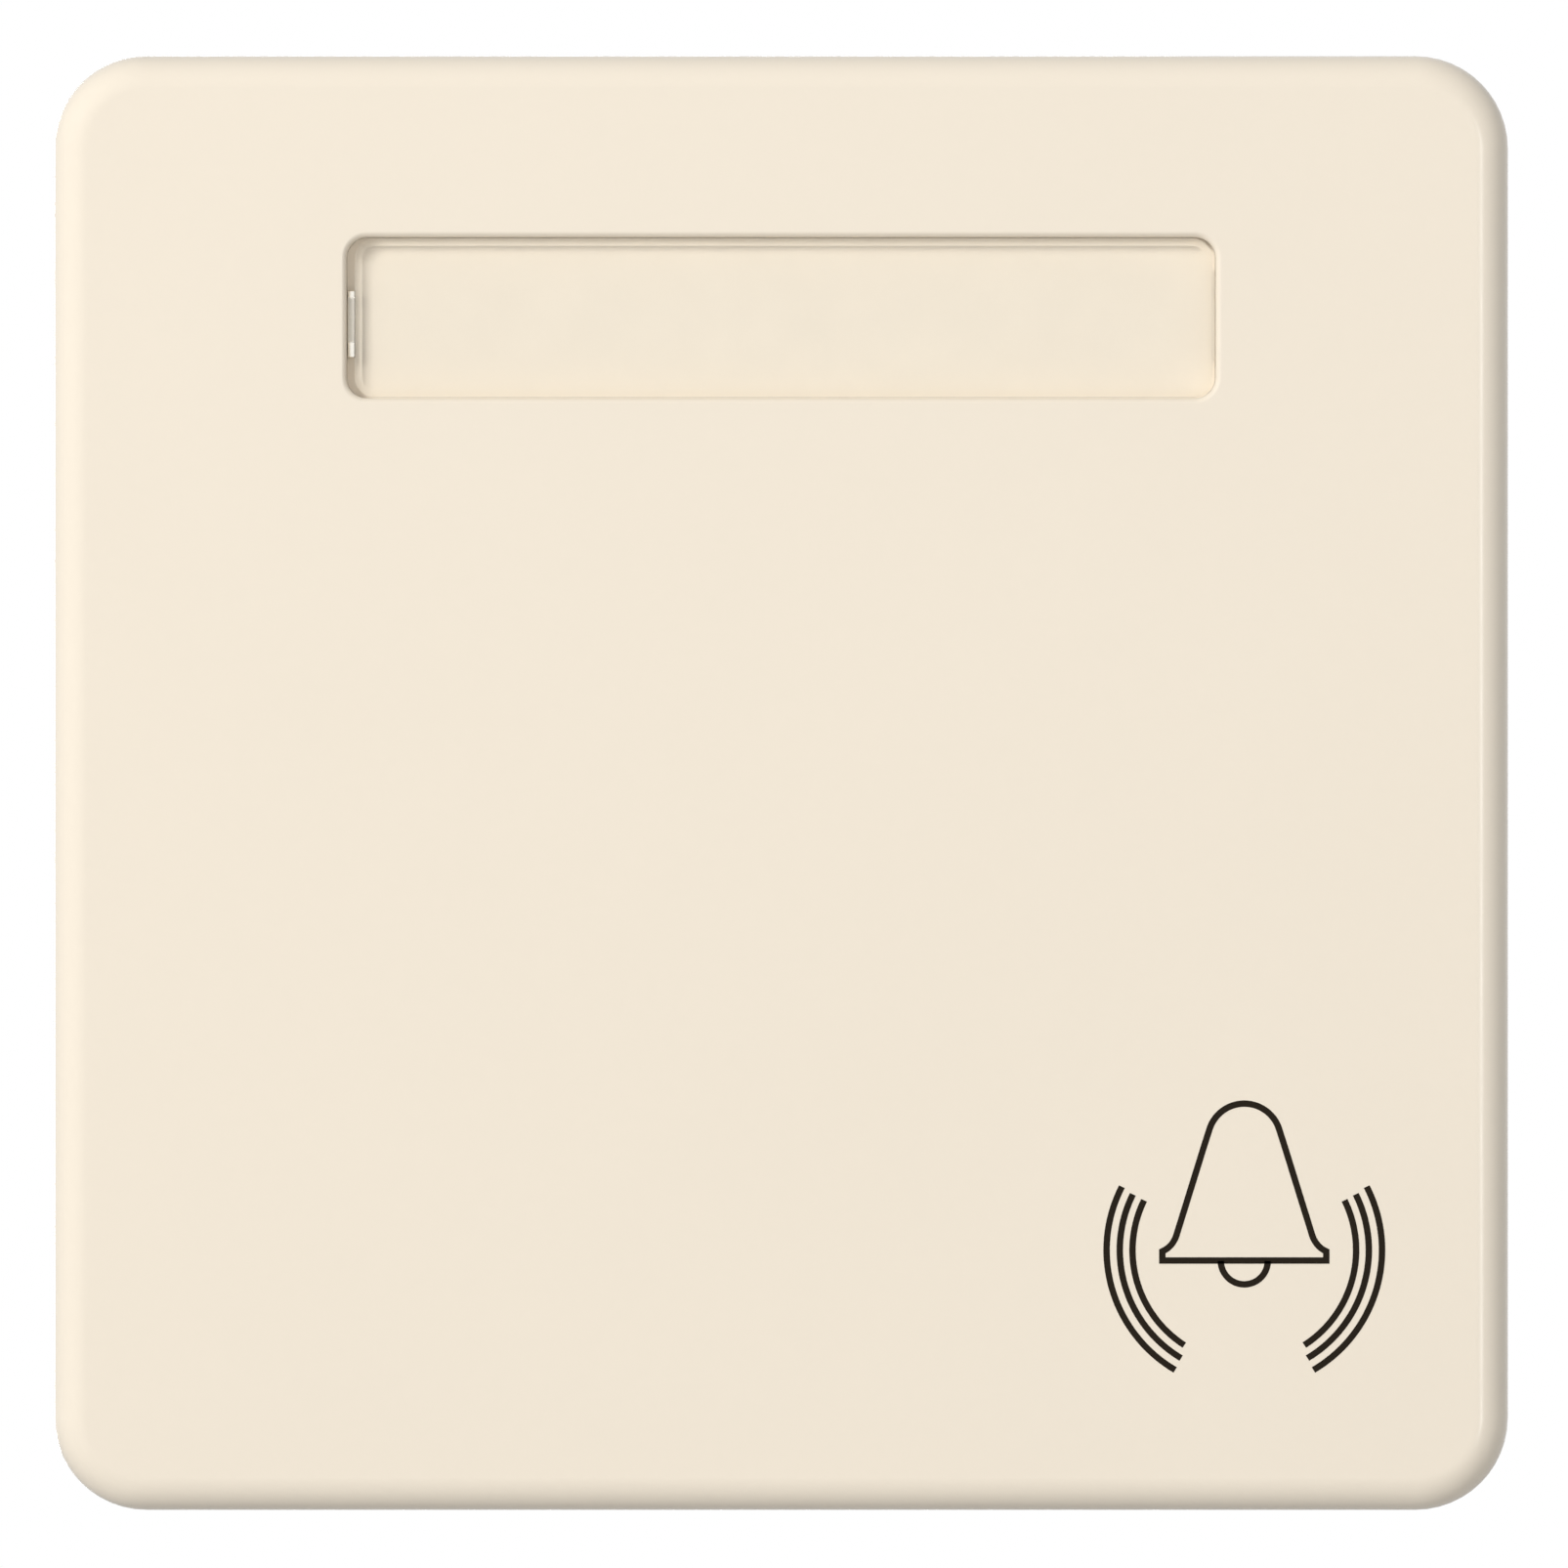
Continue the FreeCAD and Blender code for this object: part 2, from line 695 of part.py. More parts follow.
def make_contact_bridge():
    body = new_body("contact_bridge")
    strip = wall_sketch(body, "bridge_strip", "-bridge_back")
    draw_centred_box(strip, "0", "-plunger_drop", "bridge_width", "bridge_height")
    draw_circle(strip, "0", "-plunger_drop", "spigot_radius + bar_clear")
    pad(strip, "bridge_thick")
    return body


def make_contact(label, side, back):
    """One silver contact button, on the bridge or on a bar."""
    body = new_body(label)
    disc = wall_sketch(body, label + "_disc", f"-({back})")
    draw_circle(disc, f"{side} * contact_across", "-plunger_drop", "contact_radius")
    pad(disc, "contact_thick")
    return body


def make_return_spring():
    body = new_body("return_spring")
    wire = body.newObject("Sketcher::SketchObject", "spring_wire_section")
    plane = next(item for item in body.Origin.OriginFeatures if item.Role == "YZ_Plane")
    wire.AttachmentSupport = (plane, [""])
    wire.MapMode = "FlatFace"
    wire.setExpression(".AttachmentOffset.Base.y", cells("-plunger_drop"))
    draw_polygon(
        wire,
        [
            (
                f"bridge_back + spring_wire / 2 * (1 + cos({angle}))",
                f"spring_radius + spring_wire / 2 * sin({angle})",
            )
            for angle in range(45, 405, 90)
        ],
    )
    coil = body.newObject("PartDesign::AdditiveHelix", "spring_coil")
    coil.Profile = wire
    coil.ReferenceAxis = (wire, ["H_Axis"])
    coil.Mode = "height-turns-angle"
    coil.setExpression("Height", cells("spring_length - spring_wire"))
    coil.setExpression("Turns", cells("spring_turns"))
    doc.recompute()
    return body


# Insert: ring, housing, cover and what they hold


def make_support_ring():
    body = new_body("support_ring")
    sheet = wall_sketch(body, "ring_outline", "0")
    half, cut = "ring_width / 2", "(ring_width / 2 - ring_chamfer)"
    draw_polygon(
        sheet,
        [
            (f"-{cut}", f"-{half}"), (cut, f"-{half}"), (half, f"-{cut}"), (half, cut),
            (cut, half), (f"-{cut}", half), (f"-{half}", cut), (f"-{half}", f"-{cut}"),
        ],
    )
    pad(sheet, "ring_thick")
    opening = wall_sketch(body, "ring_opening", "ring_thick")
    draw_rounded_box(
        opening,
        "-ring_hole_width / 2", "ring_hole_width / 2", "-ring_hole_height / 2", "ring_hole_height / 2",
        "ring_hole_corner",
    )
    pocket(opening, "ring_thick")
    slots = wall_sketch(body, "fixing_slots", "ring_thick")
    for sign in ("-1", "1"):
        place = f"{sign} * fixing_spacing / 2"
        draw_slot(slots, place, "0", "fixing_slot_length", "fixing_slot_radius", False)
        draw_slot(slots, "0", place, "fixing_slot_length", "fixing_slot_radius", True)
    pocket(slots, "ring_thick")
    holes = wall_sketch(body, "screw_and_rivet_holes", "ring_thick")
    for side in ("-1", "1"):
        draw_circle(holes, f"{side} * claw_across", "0", "screw_radius + screw_clear")
        draw_circle(holes, "0", f"{side} * rivet_up", "rivet_radius + rivet_clear")
    pocket(holes, "ring_thick")
    return body


def make_rivets():
    body = new_body("rivets")
    for name, back, length, radius in (
        ("rivet_shanks", "-flange_thick", "flange_thick + ring_thick", "rivet_radius"),
        ("rivet_heads", "ring_thick", "rivet_head_thick", "rivet_head_radius"),
        ("rivet_tails", "-flange_thick - rivet_head_thick", "rivet_head_thick", "rivet_head_radius"),
    ):
        discs = wall_sketch(body, name, back)
        for up in ("-rivet_up", "rivet_up"):
            draw_circle(discs, "0", up, radius)
        pad(discs, length)
    return body


def make_base_housing():
    body = new_body("base_housing")
    shell = wall_sketch(body, "box_outline", "-box_depth")
    draw_rounded_box(
        shell, "-box_width / 2", "box_width / 2", "-box_height / 2", "box_height / 2", "box_corner",
    )
    pad(shell, "box_depth")
    dress(body, "Chamfer", "box_rear_edge", "box_wall / 2", lambda edge: lies_at(edge, "y", "box_depth"))
    flange = wall_sketch(body, "flange_outline", "-flange_thick")
    wide, tall = "flange_width / 2", "flange_height / 2"
    cut_wide, cut_tall = f"({wide} - flange_chamfer)", f"({tall} - flange_chamfer)"
    draw_polygon(
        flange,
        [
            (f"-{cut_wide}", f"-{tall}"), (cut_wide, f"-{tall}"), (wide, f"-{cut_tall}"), (wide, cut_tall),
            (cut_wide, tall), (f"-{cut_wide}", tall), (f"-{wide}", cut_tall), (f"-{wide}", f"-{cut_tall}"),
        ],
    )
    pad(flange, "flange_thick")
    rooms = wall_sketch(body, "rooms", "0")
    draw_box(rooms, "-contact_room_across", "contact_room_across", "-room_up", "room_up")
    draw_box(rooms, "terminal_room_in", "room_across", "-room_up", "room_up")
    draw_box(rooms, "-room_across", "-terminal_room_in", "-room_up", "room_up")
    pocket(rooms, "room_back")

    seat = wall_sketch(body, "spring_seat", "-room_back - box_wall / 2")
    draw_centred_box(seat, "0", "-plunger_drop", "spring_seat_width", "spring_seat_width")
    pad(seat, "room_back + box_wall / 2 - spring_back")
    pin = wall_sketch(body, "spring_pin", "-spring_back - box_wall")
    draw_circle(pin, "0", "-plunger_drop", "spigot_radius")
    pad(pin, "box_wall + spring_pin_long")

    notches = wall_sketch(body, "bar_notches", "0")
    for side in ("-1", "1"):
        draw_box(
            notches,
            f"{side} * (contact_room_across - bar_clear)", f"{side} * (terminal_room_in + bar_clear)",
            "-plunger_drop - bar_tab_width / 2 - bar_clear", "-plunger_drop + bar_tab_width / 2 + bar_clear",
        )
    pocket(notches, "tab_back")

    windows = wall_sketch(body, "rear_windows", "-room_back")
    for side in ("-1", "1"):
        for up in ("-entry_up", "entry_up"):
            draw_centred_box(windows, f"{side} * entry_across", up, "entry_size", "entry_size")
        draw_centred_box(
            windows, f"{side} * lever_across", "0",
            "lever_stem_width + 2 * lever_clear", "lever_stem_height + 2 * lever_clear",
        )
    pocket(windows, "box_wall")

    def is_entry_mouth(edge):
        middle = edge.BoundBox.Center
        off_across = abs(abs(middle.x) - number("entry_across"))
        off_up = abs(abs(middle.z) - number("entry_up"))
        return lies_at(edge, "y", "box_depth") and max(off_across, off_up) < number("entry_size")

    dress(body, "Chamfer", "entry_mouths", "entry_funnel", is_entry_mouth)
    holes = wall_sketch(body, "flange_holes", "0")
    for up in ("-rivet_up", "rivet_up"):
        draw_circle(holes, "0", up, "rivet_radius + rivet_clear")
    pocket(holes, "flange_thick")
    return body


def make_housing_cover():
    body = new_body("housing_cover")
    plate = wall_sketch(body, "cover_outline", "0")
    draw_rounded_box(
        plate, "-cover_width / 2", "cover_width / 2", "-cover_height / 2", "cover_height / 2",
        "ring_hole_corner - cover_clear",
    )
    pad(plate, "cover_front")
    inside = wall_sketch(body, "cover_inside", "0")
    draw_centred_box(inside, "0", "0", "cover_width - 2 * cover_skirt", "cover_height - 2 * cover_skirt")
    pocket(inside, "cover_front - cover_wall", forward=True)
    for name, start in (("left", "-ear_out"), ("right", "ear_in")):
        ear = side_sketch(body, name + "_ear", start)
        draw_polygon(
            ear,
            [
                ("-cover_front + cover_wall / 2", "-ear_width / 2"),
                ("-cover_front + cover_wall / 2", "ear_width / 2"),
                ("-pivot_level - journal_radius", "ear_width / 2"),
                ("-ear_front", "ear_slot / 2 + bearing_clear"),
                ("-ear_front", "-ear_slot / 2 - bearing_clear"),
                ("-pivot_level - journal_radius", "-ear_width / 2"),
            ],
        )
        pad(ear, "ear_wall")
    bearings = side_sketch(body, "bearing_bores", "-ear_out")
    draw_circle(bearings, "-pivot_level", "0", "journal_radius + bearing_clear")
    pocket(bearings, "2 * ear_out", forward=True)
    snap_slots = side_sketch(body, "snap_slots", "-ear_out")
    draw_box(snap_slots, "-ear_front - ear_wall", "-pivot_level", "-ear_slot / 2", "ear_slot / 2")
    pocket(snap_slots, "2 * ear_out", forward=True)
    guide = wall_sketch(body, "guide_tube", "-guide_back")
    draw_circle(guide, "0", "-plunger_drop", "guide_radius + guide_wall")
    pad(guide, "guide_back + cover_front - cover_wall / 2")
    bore = wall_sketch(body, "guide_bore", "cover_front")
    draw_circle(bore, "0", "-plunger_drop", "guide_radius")
    pocket(bore, "cover_front + guide_back")
    return body


def make_busbar(label, side):
    """Brass bar: an upright plate in the terminal room and a tab to the contact."""
    body = new_body(label)
    tab = wall_sketch(body, label + "_tab", "-tab_back")
    draw_box(
        tab,
        f"{side} * bar_tab_end", f"{side} * bar_out",
        "-plunger_drop - bar_tab_width / 2", "-plunger_drop + bar_tab_width / 2",
    )
    pad(tab, "bar_thick")
    plate = side_sketch(body, label + "_plate", "terminal_room_in" if side == "1" else "-bar_out")
    draw_box(plate, "tab_front", "bar_back", "-plunger_drop - bar_tab_width / 2", "bar_top")
    pad(plate, "bar_thick")
    return body


def make_clamp_spring(label, side, up):
    """Leaf spring: a leg on the outer wall, a bend, and a tongue towards the bar."""
    body = new_body(label)
    leaf = plan_sketch(body, label + "_leaf", f"{up} - clamp_width / 2")
    outer_radius = "(clamp_bend + clamp_thick)"
    reach = f"((clamp_centre - {outer_radius} * cos(clamp_angle) - bar_out - clamp_tip_gap) / sin(clamp_angle))"
    x_wall = f"{side} * room_across"
    x_centre = f"{side} * clamp_centre"
    sign = int(side)

    def at(radius, along):
        """Point on the tongue, or on the bend where the tongue leaves it."""
        across = f"{side} * (clamp_centre - {radius} * cos(clamp_angle) - {along} * sin(clamp_angle))"
        back = f"clamp_bend_depth + {radius} * sin(clamp_angle) - {along} * cos(clamp_angle)"
        return across, back

    def vector(place):
        return Vector(number(place[0]), number(place[1]), 0)

    def bend(radius):
        """Half-round bend from the leg round to the tongue."""
        centre = Vector(number(x_centre), number("clamp_bend_depth"), 0)
        circle = Part.Circle(centre, Vector(0, 0, 1), number(radius))
        sweep = math.pi - math.radians(number("clamp_angle"))
        if sign > 0:
            return Part.ArcOfCircle(circle, 0, sweep)
        return Part.ArcOfCircle(circle, math.pi - sweep, math.pi)

    leg_end, tongue_end = (1, 2) if sign > 0 else (2, 1)
    outer_leg = (x_wall, "clamp_leg_front")
    inner_leg = (f"{side} * (room_across - clamp_thick)", "clamp_leg_front")
    outer_bend = (x_wall, "clamp_bend_depth")
    inner_bend = (inner_leg[0], "clamp_bend_depth")
    outer_tip, inner_tip = at(outer_radius, reach), at("clamp_bend", reach)
    outer_root, inner_root = at(outer_radius, "0"), at("clamp_bend", "0")
    corners = [
        (outer_leg, outer_bend), (outer_root, outer_tip), (outer_tip, inner_tip),
        (inner_tip, inner_root), (inner_bend, inner_leg), (inner_leg, outer_leg),
    ]
    lines = [
        leaf.addGeometry(Part.LineSegment(vector(first), vector(last)), False) for first, last in corners
    ]
    arcs = [leaf.addGeometry(bend(radius), False) for radius in (outer_radius, "clamp_bend")]
    for first, end, second, start in (
        (lines[0], 2, arcs[0], leg_end),
        (arcs[0], tongue_end, lines[1], 1),
        (lines[1], 2, lines[2], 1),
        (lines[2], 2, lines[3], 1),
        (lines[3], 2, arcs[1], tongue_end),
        (arcs[1], leg_end, lines[4], 1),
        (lines[4], 2, lines[5], 1),
        (lines[5], 2, lines[0], 1),
    ):
        leaf.addConstraint(Sketcher.Constraint("Coincident", first, end, second, start))
    for line, end, place in (
        (lines[0], 1, outer_leg), (lines[0], 2, outer_bend),
        (lines[1], 1, outer_root), (lines[1], 2, outer_tip),
        (lines[2], 2, inner_tip), (lines[3], 2, inner_root),
        (lines[4], 1, inner_bend), (lines[4], 2, inner_leg),
    ):
        fix_point(leaf, line, end, *place)
    fix_radius(leaf, arcs[0], outer_radius)
    fix_radius(leaf, arcs[1], "clamp_bend")
    pad(leaf, "clamp_width")
    return body


def make_release_lever(label, side):
    """Push key for the clamps: a stem through the rear wall and a bar behind both springs."""
    body = new_body(label)
    bar = wall_sketch(body, label + "_bar", "-lever_front - lever_bar_thick")
    draw_centred_box(bar, f"{side} * lever_across", "0", "lever_bar_width", "lever_bar_height")
    pad(bar, "lever_bar_thick")
    stem = wall_sketch(body, label + "_stem", "-box_depth - lever_out")
    draw_centred_box(stem, f"{side} * lever_across", "0", "lever_stem_width", "lever_stem_height")
    pad(stem, "box_depth + lever_out - lever_front")
    return body


def make_claw(label, side):
    """Spreading claw: a bridge that the screw passes, and two toothed prongs."""
    body = new_body(label)
    strip = plan_sketch(body, label + "_strip", "0")
    draw_polygon(
        strip,
        [
            (f"{side} * claw_inner", "claw_front"),
            (f"{side} * claw_tooth", "claw_front"),
            (f"{side} * (claw_tooth - claw_thick)", "claw_front + claw_thick"),
            (f"{side} * (claw_inner + claw_thick)", "claw_front + claw_thick"),
            (f"{side} * (claw_inner + claw_thick)", "claw_bridge_front"),
            (f"{side} * claw_outer", "claw_bridge_front"),
            (f"{side} * claw_outer", "claw_back"),
            (f"{side} * claw_inner", "claw_back"),
        ],
    )
    pad(strip, "claw_width", both_ways=True)

    def is_heel(edge):
        box = edge.BoundBox
        along_z = box.XLength < 1e-4 and box.YLength < 1e-4
        at_inner = abs(abs(box.XMin) - number("claw_inner")) < 1e-4
        return along_z and at_inner

    dress(body, "Fillet", label + "_heels", "claw_thick", is_heel)
    fork = side_sketch(body, label + "_fork", "0")
    draw_box(fork, "claw_front - claw_thick", "claw_bridge_front", "-claw_fork / 2", "claw_fork / 2")
    pocket(fork, "2 * claw_outer", both_ways=True)
    hole = wall_sketch(body, label + "_hole", "-claw_bridge_front + claw_thick / 2")
    draw_circle(hole, f"{side} * claw_across", "0", "claw_hole_radius")
    pocket(hole, "2 * claw_thick")
    return body


def make_claw_screw(label, side):
    """Pan-head machine screw with a cross recess."""
    body = new_body(label)
    shank = wall_sketch(body, label + "_shank", "-screw_end")
    draw_circle(shank, f"{side} * claw_across", "0", "screw_radius")
    pad(shank, "screw_end + ring_thick")
    head = wall_sketch(body, label + "_head", "ring_thick")
    draw_circle(head, f"{side} * claw_across", "0", "screw_head_radius")
    pad(head, "screw_head_thick")
    top = "ring_thick + screw_head_thick"
    long, wide = "screw_recess_long / 2", "screw_recess_wide / 2"
    middle = f"{side} * claw_across"
    cross = wall_sketch(body, label + "_recess", top)
    draw_polygon(
        cross,
        [
            (f"{middle} - {wide}", f"-{long}"), (f"{middle} + {wide}", f"-{long}"),
            (f"{middle} + {wide}", f"-{wide}"), (f"{middle} + {long}", f"-{wide}"),
            (f"{middle} + {long}", wide), (f"{middle} + {wide}", wide),
            (f"{middle} + {wide}", long), (f"{middle} - {wide}", long),
            (f"{middle} - {wide}", wide), (f"{middle} - {long}", wide),
            (f"{middle} - {long}", f"-{wide}"), (f"{middle} - {wide}", f"-{wide}"),
        ],
    )
    pocket(cross, "screw_recess_deep")
    return body


pieces = [
    make_rocker_cover(),
    make_label_strip(),
    make_label_window(),
    make_actuator(),
    make_plunger(),
    make_contact_bridge(),
    make_return_spring(),
    make_support_ring(),
    make_rivets(),
    make_base_housing(),
    make_housing_cover(),
]
for side_name, side_sign in (("left", "-1"), ("right", "1")):
    pieces.append(make_contact("moving_contact_" + side_name, side_sign, "bridge_back + contact_thick"))
    pieces.append(make_contact("fixed_contact_" + side_name, side_sign, "tab_front"))
    pieces.append(make_busbar("busbar_" + side_name, side_sign))
    for height_name, height in (("lower", "-entry_up"), ("upper", "entry_up")):
        pieces.append(make_clamp_spring(f"clamp_spring_{height_name}_{side_name}", side_sign, height))
    pieces.append(make_release_lever("release_lever_" + side_name, side_sign))
    pieces.append(make_claw("claw_" + side_name, side_sign))
    pieces.append(make_claw_screw("claw_screw_" + side_name, side_sign))

doc.recompute()
for item in doc.Objects:
    if "Invalid" in item.State or "Error" in item.State:
        raise RuntimeError(item.Label + " failed to rebuild")
for piece in pieces:
    if piece.Shape.isNull() or not piece.Shape.isValid():
        raise RuntimeError(piece.Label + " has no sound shape")
for piece in pieces:
    piece.Shape.exportStep(f"parts/{piece.Label}.step")
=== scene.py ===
import json
import math

import bmesh
import bpy
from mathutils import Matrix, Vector


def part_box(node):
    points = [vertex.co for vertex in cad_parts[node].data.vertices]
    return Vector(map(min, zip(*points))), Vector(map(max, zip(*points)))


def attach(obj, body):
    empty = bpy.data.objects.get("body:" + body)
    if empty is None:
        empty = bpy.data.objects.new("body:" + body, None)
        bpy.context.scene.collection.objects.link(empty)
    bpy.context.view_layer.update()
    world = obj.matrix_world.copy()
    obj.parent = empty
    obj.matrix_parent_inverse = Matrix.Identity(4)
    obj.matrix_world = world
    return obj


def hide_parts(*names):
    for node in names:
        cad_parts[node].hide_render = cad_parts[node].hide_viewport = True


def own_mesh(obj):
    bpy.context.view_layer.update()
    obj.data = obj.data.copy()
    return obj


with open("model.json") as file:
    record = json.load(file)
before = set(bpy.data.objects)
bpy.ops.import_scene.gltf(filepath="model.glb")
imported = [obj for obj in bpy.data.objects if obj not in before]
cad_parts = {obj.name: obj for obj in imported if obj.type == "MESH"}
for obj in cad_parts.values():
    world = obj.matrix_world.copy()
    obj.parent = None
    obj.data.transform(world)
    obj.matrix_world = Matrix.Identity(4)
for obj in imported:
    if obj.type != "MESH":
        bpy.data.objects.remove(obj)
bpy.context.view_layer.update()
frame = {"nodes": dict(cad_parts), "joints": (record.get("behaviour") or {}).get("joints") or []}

nodes = frame["nodes"]
MM = 0.001
WHITE = (1.0, 1.0, 1.0, 1.0)


# Sizes from the frame


def box_mm(node):
    """Lowest and highest corner of a solid, in millimetres to the nearest hundredth."""
    return [[round(value / MM, 2) for value in corner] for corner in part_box(node)]


def joint_row(name):
    """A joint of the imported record, by its name."""
    return next(row for row in frame["joints"] if row["name"] == name)


PLATE_LOW, PLATE_HIGH = box_mm("rocker_cover")
PLATE_FRONT = -PLATE_LOW[1]
PLATE_EDGE_ROUND = 1.6

# The photograph's side, and the plate's middle and width in it, in pixels
PHOTO_SIDE = 1605
PLATE_CENTRE_PX = (799.5, 801.5)
PLATE_WIDTH_PX = 1488.0
PHOTO_SCALE = (PLATE_HIGH[0] - PLATE_LOW[0]) / PLATE_WIDTH_PX


# Material building


class Finish:
    """One procedural material, with short calls for its nodes. Places are in millimetres."""

    def __init__(self, name):
        self.material = bpy.data.materials.new(name)
        self.material.use_nodes = True
        self.tree = self.material.node_tree
        self.tree.nodes.clear()
        where = self.add("TexCoord")
        self.place = self.add(
            "VectorMath", {0: where.outputs["Object"], "Scale": 1 / MM}, operation="SCALE"
        ).outputs[0]

    def add(self, kind, inputs=None, **settings):
        """Add a shader node. An input that is given a socket is linked to it."""
        made = self.tree.nodes.new("ShaderNode" + kind)
        for name, value in settings.items():
            setattr(made, name, value)
        for name, value in (inputs or {}).items():
            if isinstance(value, bpy.types.NodeSocket):
                self.tree.links.new(value, made.inputs[name])
            else:
                made.inputs[name].default_value = value
        return made

    def noise(self, scale, detail=2.0, roughness=0.5, stretch=None, distortion=0.0):
        """Noise of a scale per millimetre, drawn out along an axis where stretch says so."""
        place = self.place
        if stretch:
            place = self.add("VectorMath", {0: place, 1: stretch}, operation="MULTIPLY").outputs[0]
        return self.add(
            "TexNoise",
            {
                "Vector": place, "Scale": scale, "Detail": detail,
                "Roughness": roughness, "Distortion": distortion,
            },
        ).outputs["Fac"]

    def spread(self, value, low, high, start=0.3, end=0.7):
        """Map a texture onto a range of numbers."""
        return self.add(
            "MapRange", {"Value": value, "From Min": start, "From Max": end, "To Min": low, "To Max": high}
        ).outputs["Result"]

    def blend(self, value, first, second):
        """Blend two colours by a texture."""
        mix = self.add("Mix", data_type="RGBA")
        self.tree.links.new(value, mix.inputs[0])
        for slot, colour in ((6, first), (7, second)):
            if isinstance(colour, bpy.types.NodeSocket):
                self.tree.links.new(colour, mix.inputs[slot])
            else:
                mix.inputs[slot].default_value = (*colour, 1.0)
        return mix.outputs[2]

    def bump(self, height, depth, below=None):
        """Relief of a depth in millimetres, over another relief."""
        inputs = {"Height": height, "Strength": 1.0, "Distance": depth * MM}
        if below is not None:
            inputs["Normal"] = below
        return self.add("Bump", inputs).outputs["Normal"]

    def shader(self, colour, roughness, normal=None, **constants):
        """Close the material with a Principled shader."""
        inputs = {"Base Color": colour, "Roughness": roughness}
        if normal is not None:
            inputs["Normal"] = normal
        inputs.update({name.replace("_", " "): value for name, value in constants.items()})
        return self.add("BsdfPrincipled", inputs)

    def close(self, surface):
        self.add("OutputMaterial", {"Surface": surface.outputs[0]})
        return self.material


def shade(colour, factor):
    return tuple(min(1.0, channel * factor) for channel in colour)


GLOSS_SWING = 0.025


def moulded(name, colour, roughness, grain=0.0015, scale=9.0, mottle=0.015, **constants):
    """Injection-moulded plastic: eroded mould grain, slow waves and faint flow clouds."""
    finish = Finish(name)
    clouds = finish.spread(finish.noise(0.06, 3.0), 0.0, 1.0)
    flecks = finish.spread(finish.noise(2.2, 4.0, 0.6), 0.0, 1.0)
    dark = finish.blend(flecks, shade(colour, 1.0 - mottle), shade(colour, 1.0 - mottle / 3))
    pale = finish.blend(flecks, shade(colour, 1.0 + mottle / 3), shade(colour, 1.0 + mottle))
    tone = finish.blend(clouds, dark, pale)
    gloss = finish.spread(finish.noise(0.5, 3.0), roughness - GLOSS_SWING, roughness + GLOSS_SWING)
    waves = finish.bump(finish.noise(0.12, 1.0), 0.03)
    relief = finish.bump(finish.noise(scale, 5.0, 0.65), grain, waves)
    return finish.close(finish.shader(tone, gloss, relief, **constants))


METAL_GLOSS_SWING = 0.14


def metal(name, colour, roughness, stretch=(1, 1, 1), scale=3.0, stain=0.08, grain=0.001, tint=None):
    """Rolled, plated or turned metal: drawn-out tool marks and cloudy plating."""
    finish = Finish(name)
    clouds = finish.noise(0.35, 4.0, 0.6)
    lines = finish.noise(scale, 6.0, 0.7, stretch)
    dull = tint or shade(colour, 1.0 - stain)
    tone = finish.blend(finish.spread(clouds, 0.0, 1.0), dull, colour)
    gloss = finish.spread(lines, roughness, roughness + METAL_GLOSS_SWING)
    relief = finish.bump(lines, grain)
    return finish.close(finish.shader(tone, gloss, relief, Metallic=1.0))


WINDOW_LOW = box_mm("label_window")[0]
LATCH_OUT = 0.35
LATCH_INNER = WINDOW_LOW[0] + LATCH_OUT
LATCH_FADE = 0.06
LATCH_CLEAR_MIDDLE = 22.27
LATCH_CLEAR_HALF = 1.0
# Distance from the latch's middle at which its ends turn into painted glints
LATCH_PAINTED_GLINT_FROM = 1.12


def clear_plastic(name):
    """Clear moulded pane: lamps shine through, and its edges and faint sinks bend the view.

    The latch that stands out at its left end is painted pale and milky, as painted light in place of the
    light that the clear latch carries in. Its two ends get mirror metal, which paints white glints there.
    """
    finish = Finish(name)
    waves = finish.bump(finish.noise(0.25, 2.0), 0.02)
    fine = finish.bump(finish.noise(4.0, 4.0, 0.6), 0.0004, waves)
    haze = finish.spread(finish.noise(0.8, 4.0, 0.6), 0.13, 0.2)
    glass = finish.shader((0.99, 0.985, 0.965, 1.0), haze, fine, IOR=1.49, Transmission_Weight=1.0)
    path = finish.add("LightPath")
    open_way = finish.add("BsdfTransparent", {"Color": (0.965, 0.96, 0.945, 1.0)})
    mix = glass
    for ray in ("Is Shadow Ray", "Is Diffuse Ray"):
        mix = finish.add("MixShader", {0: path.outputs[ray], 1: mix.outputs[0], 2: open_way.outputs[0]})
    place = finish.add("SeparateXYZ", {0: finish.place}).outputs
    on_latch = finish.spread(place["X"], 1.0, 0.0, LATCH_INNER - LATCH_FADE, LATCH_INNER)
    from_middle = finish.add("Math", {0: place["Z"], 1: LATCH_CLEAR_MIDDLE}, operation="SUBTRACT").outputs[0]
    from_middle = finish.add("Math", {0: from_middle}, operation="ABSOLUTE").outputs[0]
    # Painted light: the latch's share of a pale shader, higher at its ends, and metal at its ends for
    # painted glints
    latch_painted_light = finish.spread(from_middle, 0.6, 0.95, LATCH_CLEAR_HALF, LATCH_PAINTED_GLINT_FROM)
    painted_glint_metal = finish.spread(from_middle, 0.06, 0.9, LATCH_CLEAR_HALF, LATCH_PAINTED_GLINT_FROM)
    share = finish.add("Math", {0: on_latch, 1: latch_painted_light}, operation="MULTIPLY").outputs[0]
    gloss = finish.spread(finish.noise(5.0, 3.0), 0.12, 0.2)
    # Pale colour of the painted light on the latch
    latch = finish.shader((1.0, 0.96, 0.87, 1.0), gloss, fine, Metallic=painted_glint_metal)
    return finish.close(finish.add("MixShader", {0: share, 1: mix.outputs[0], 2: latch.outputs[0]}))


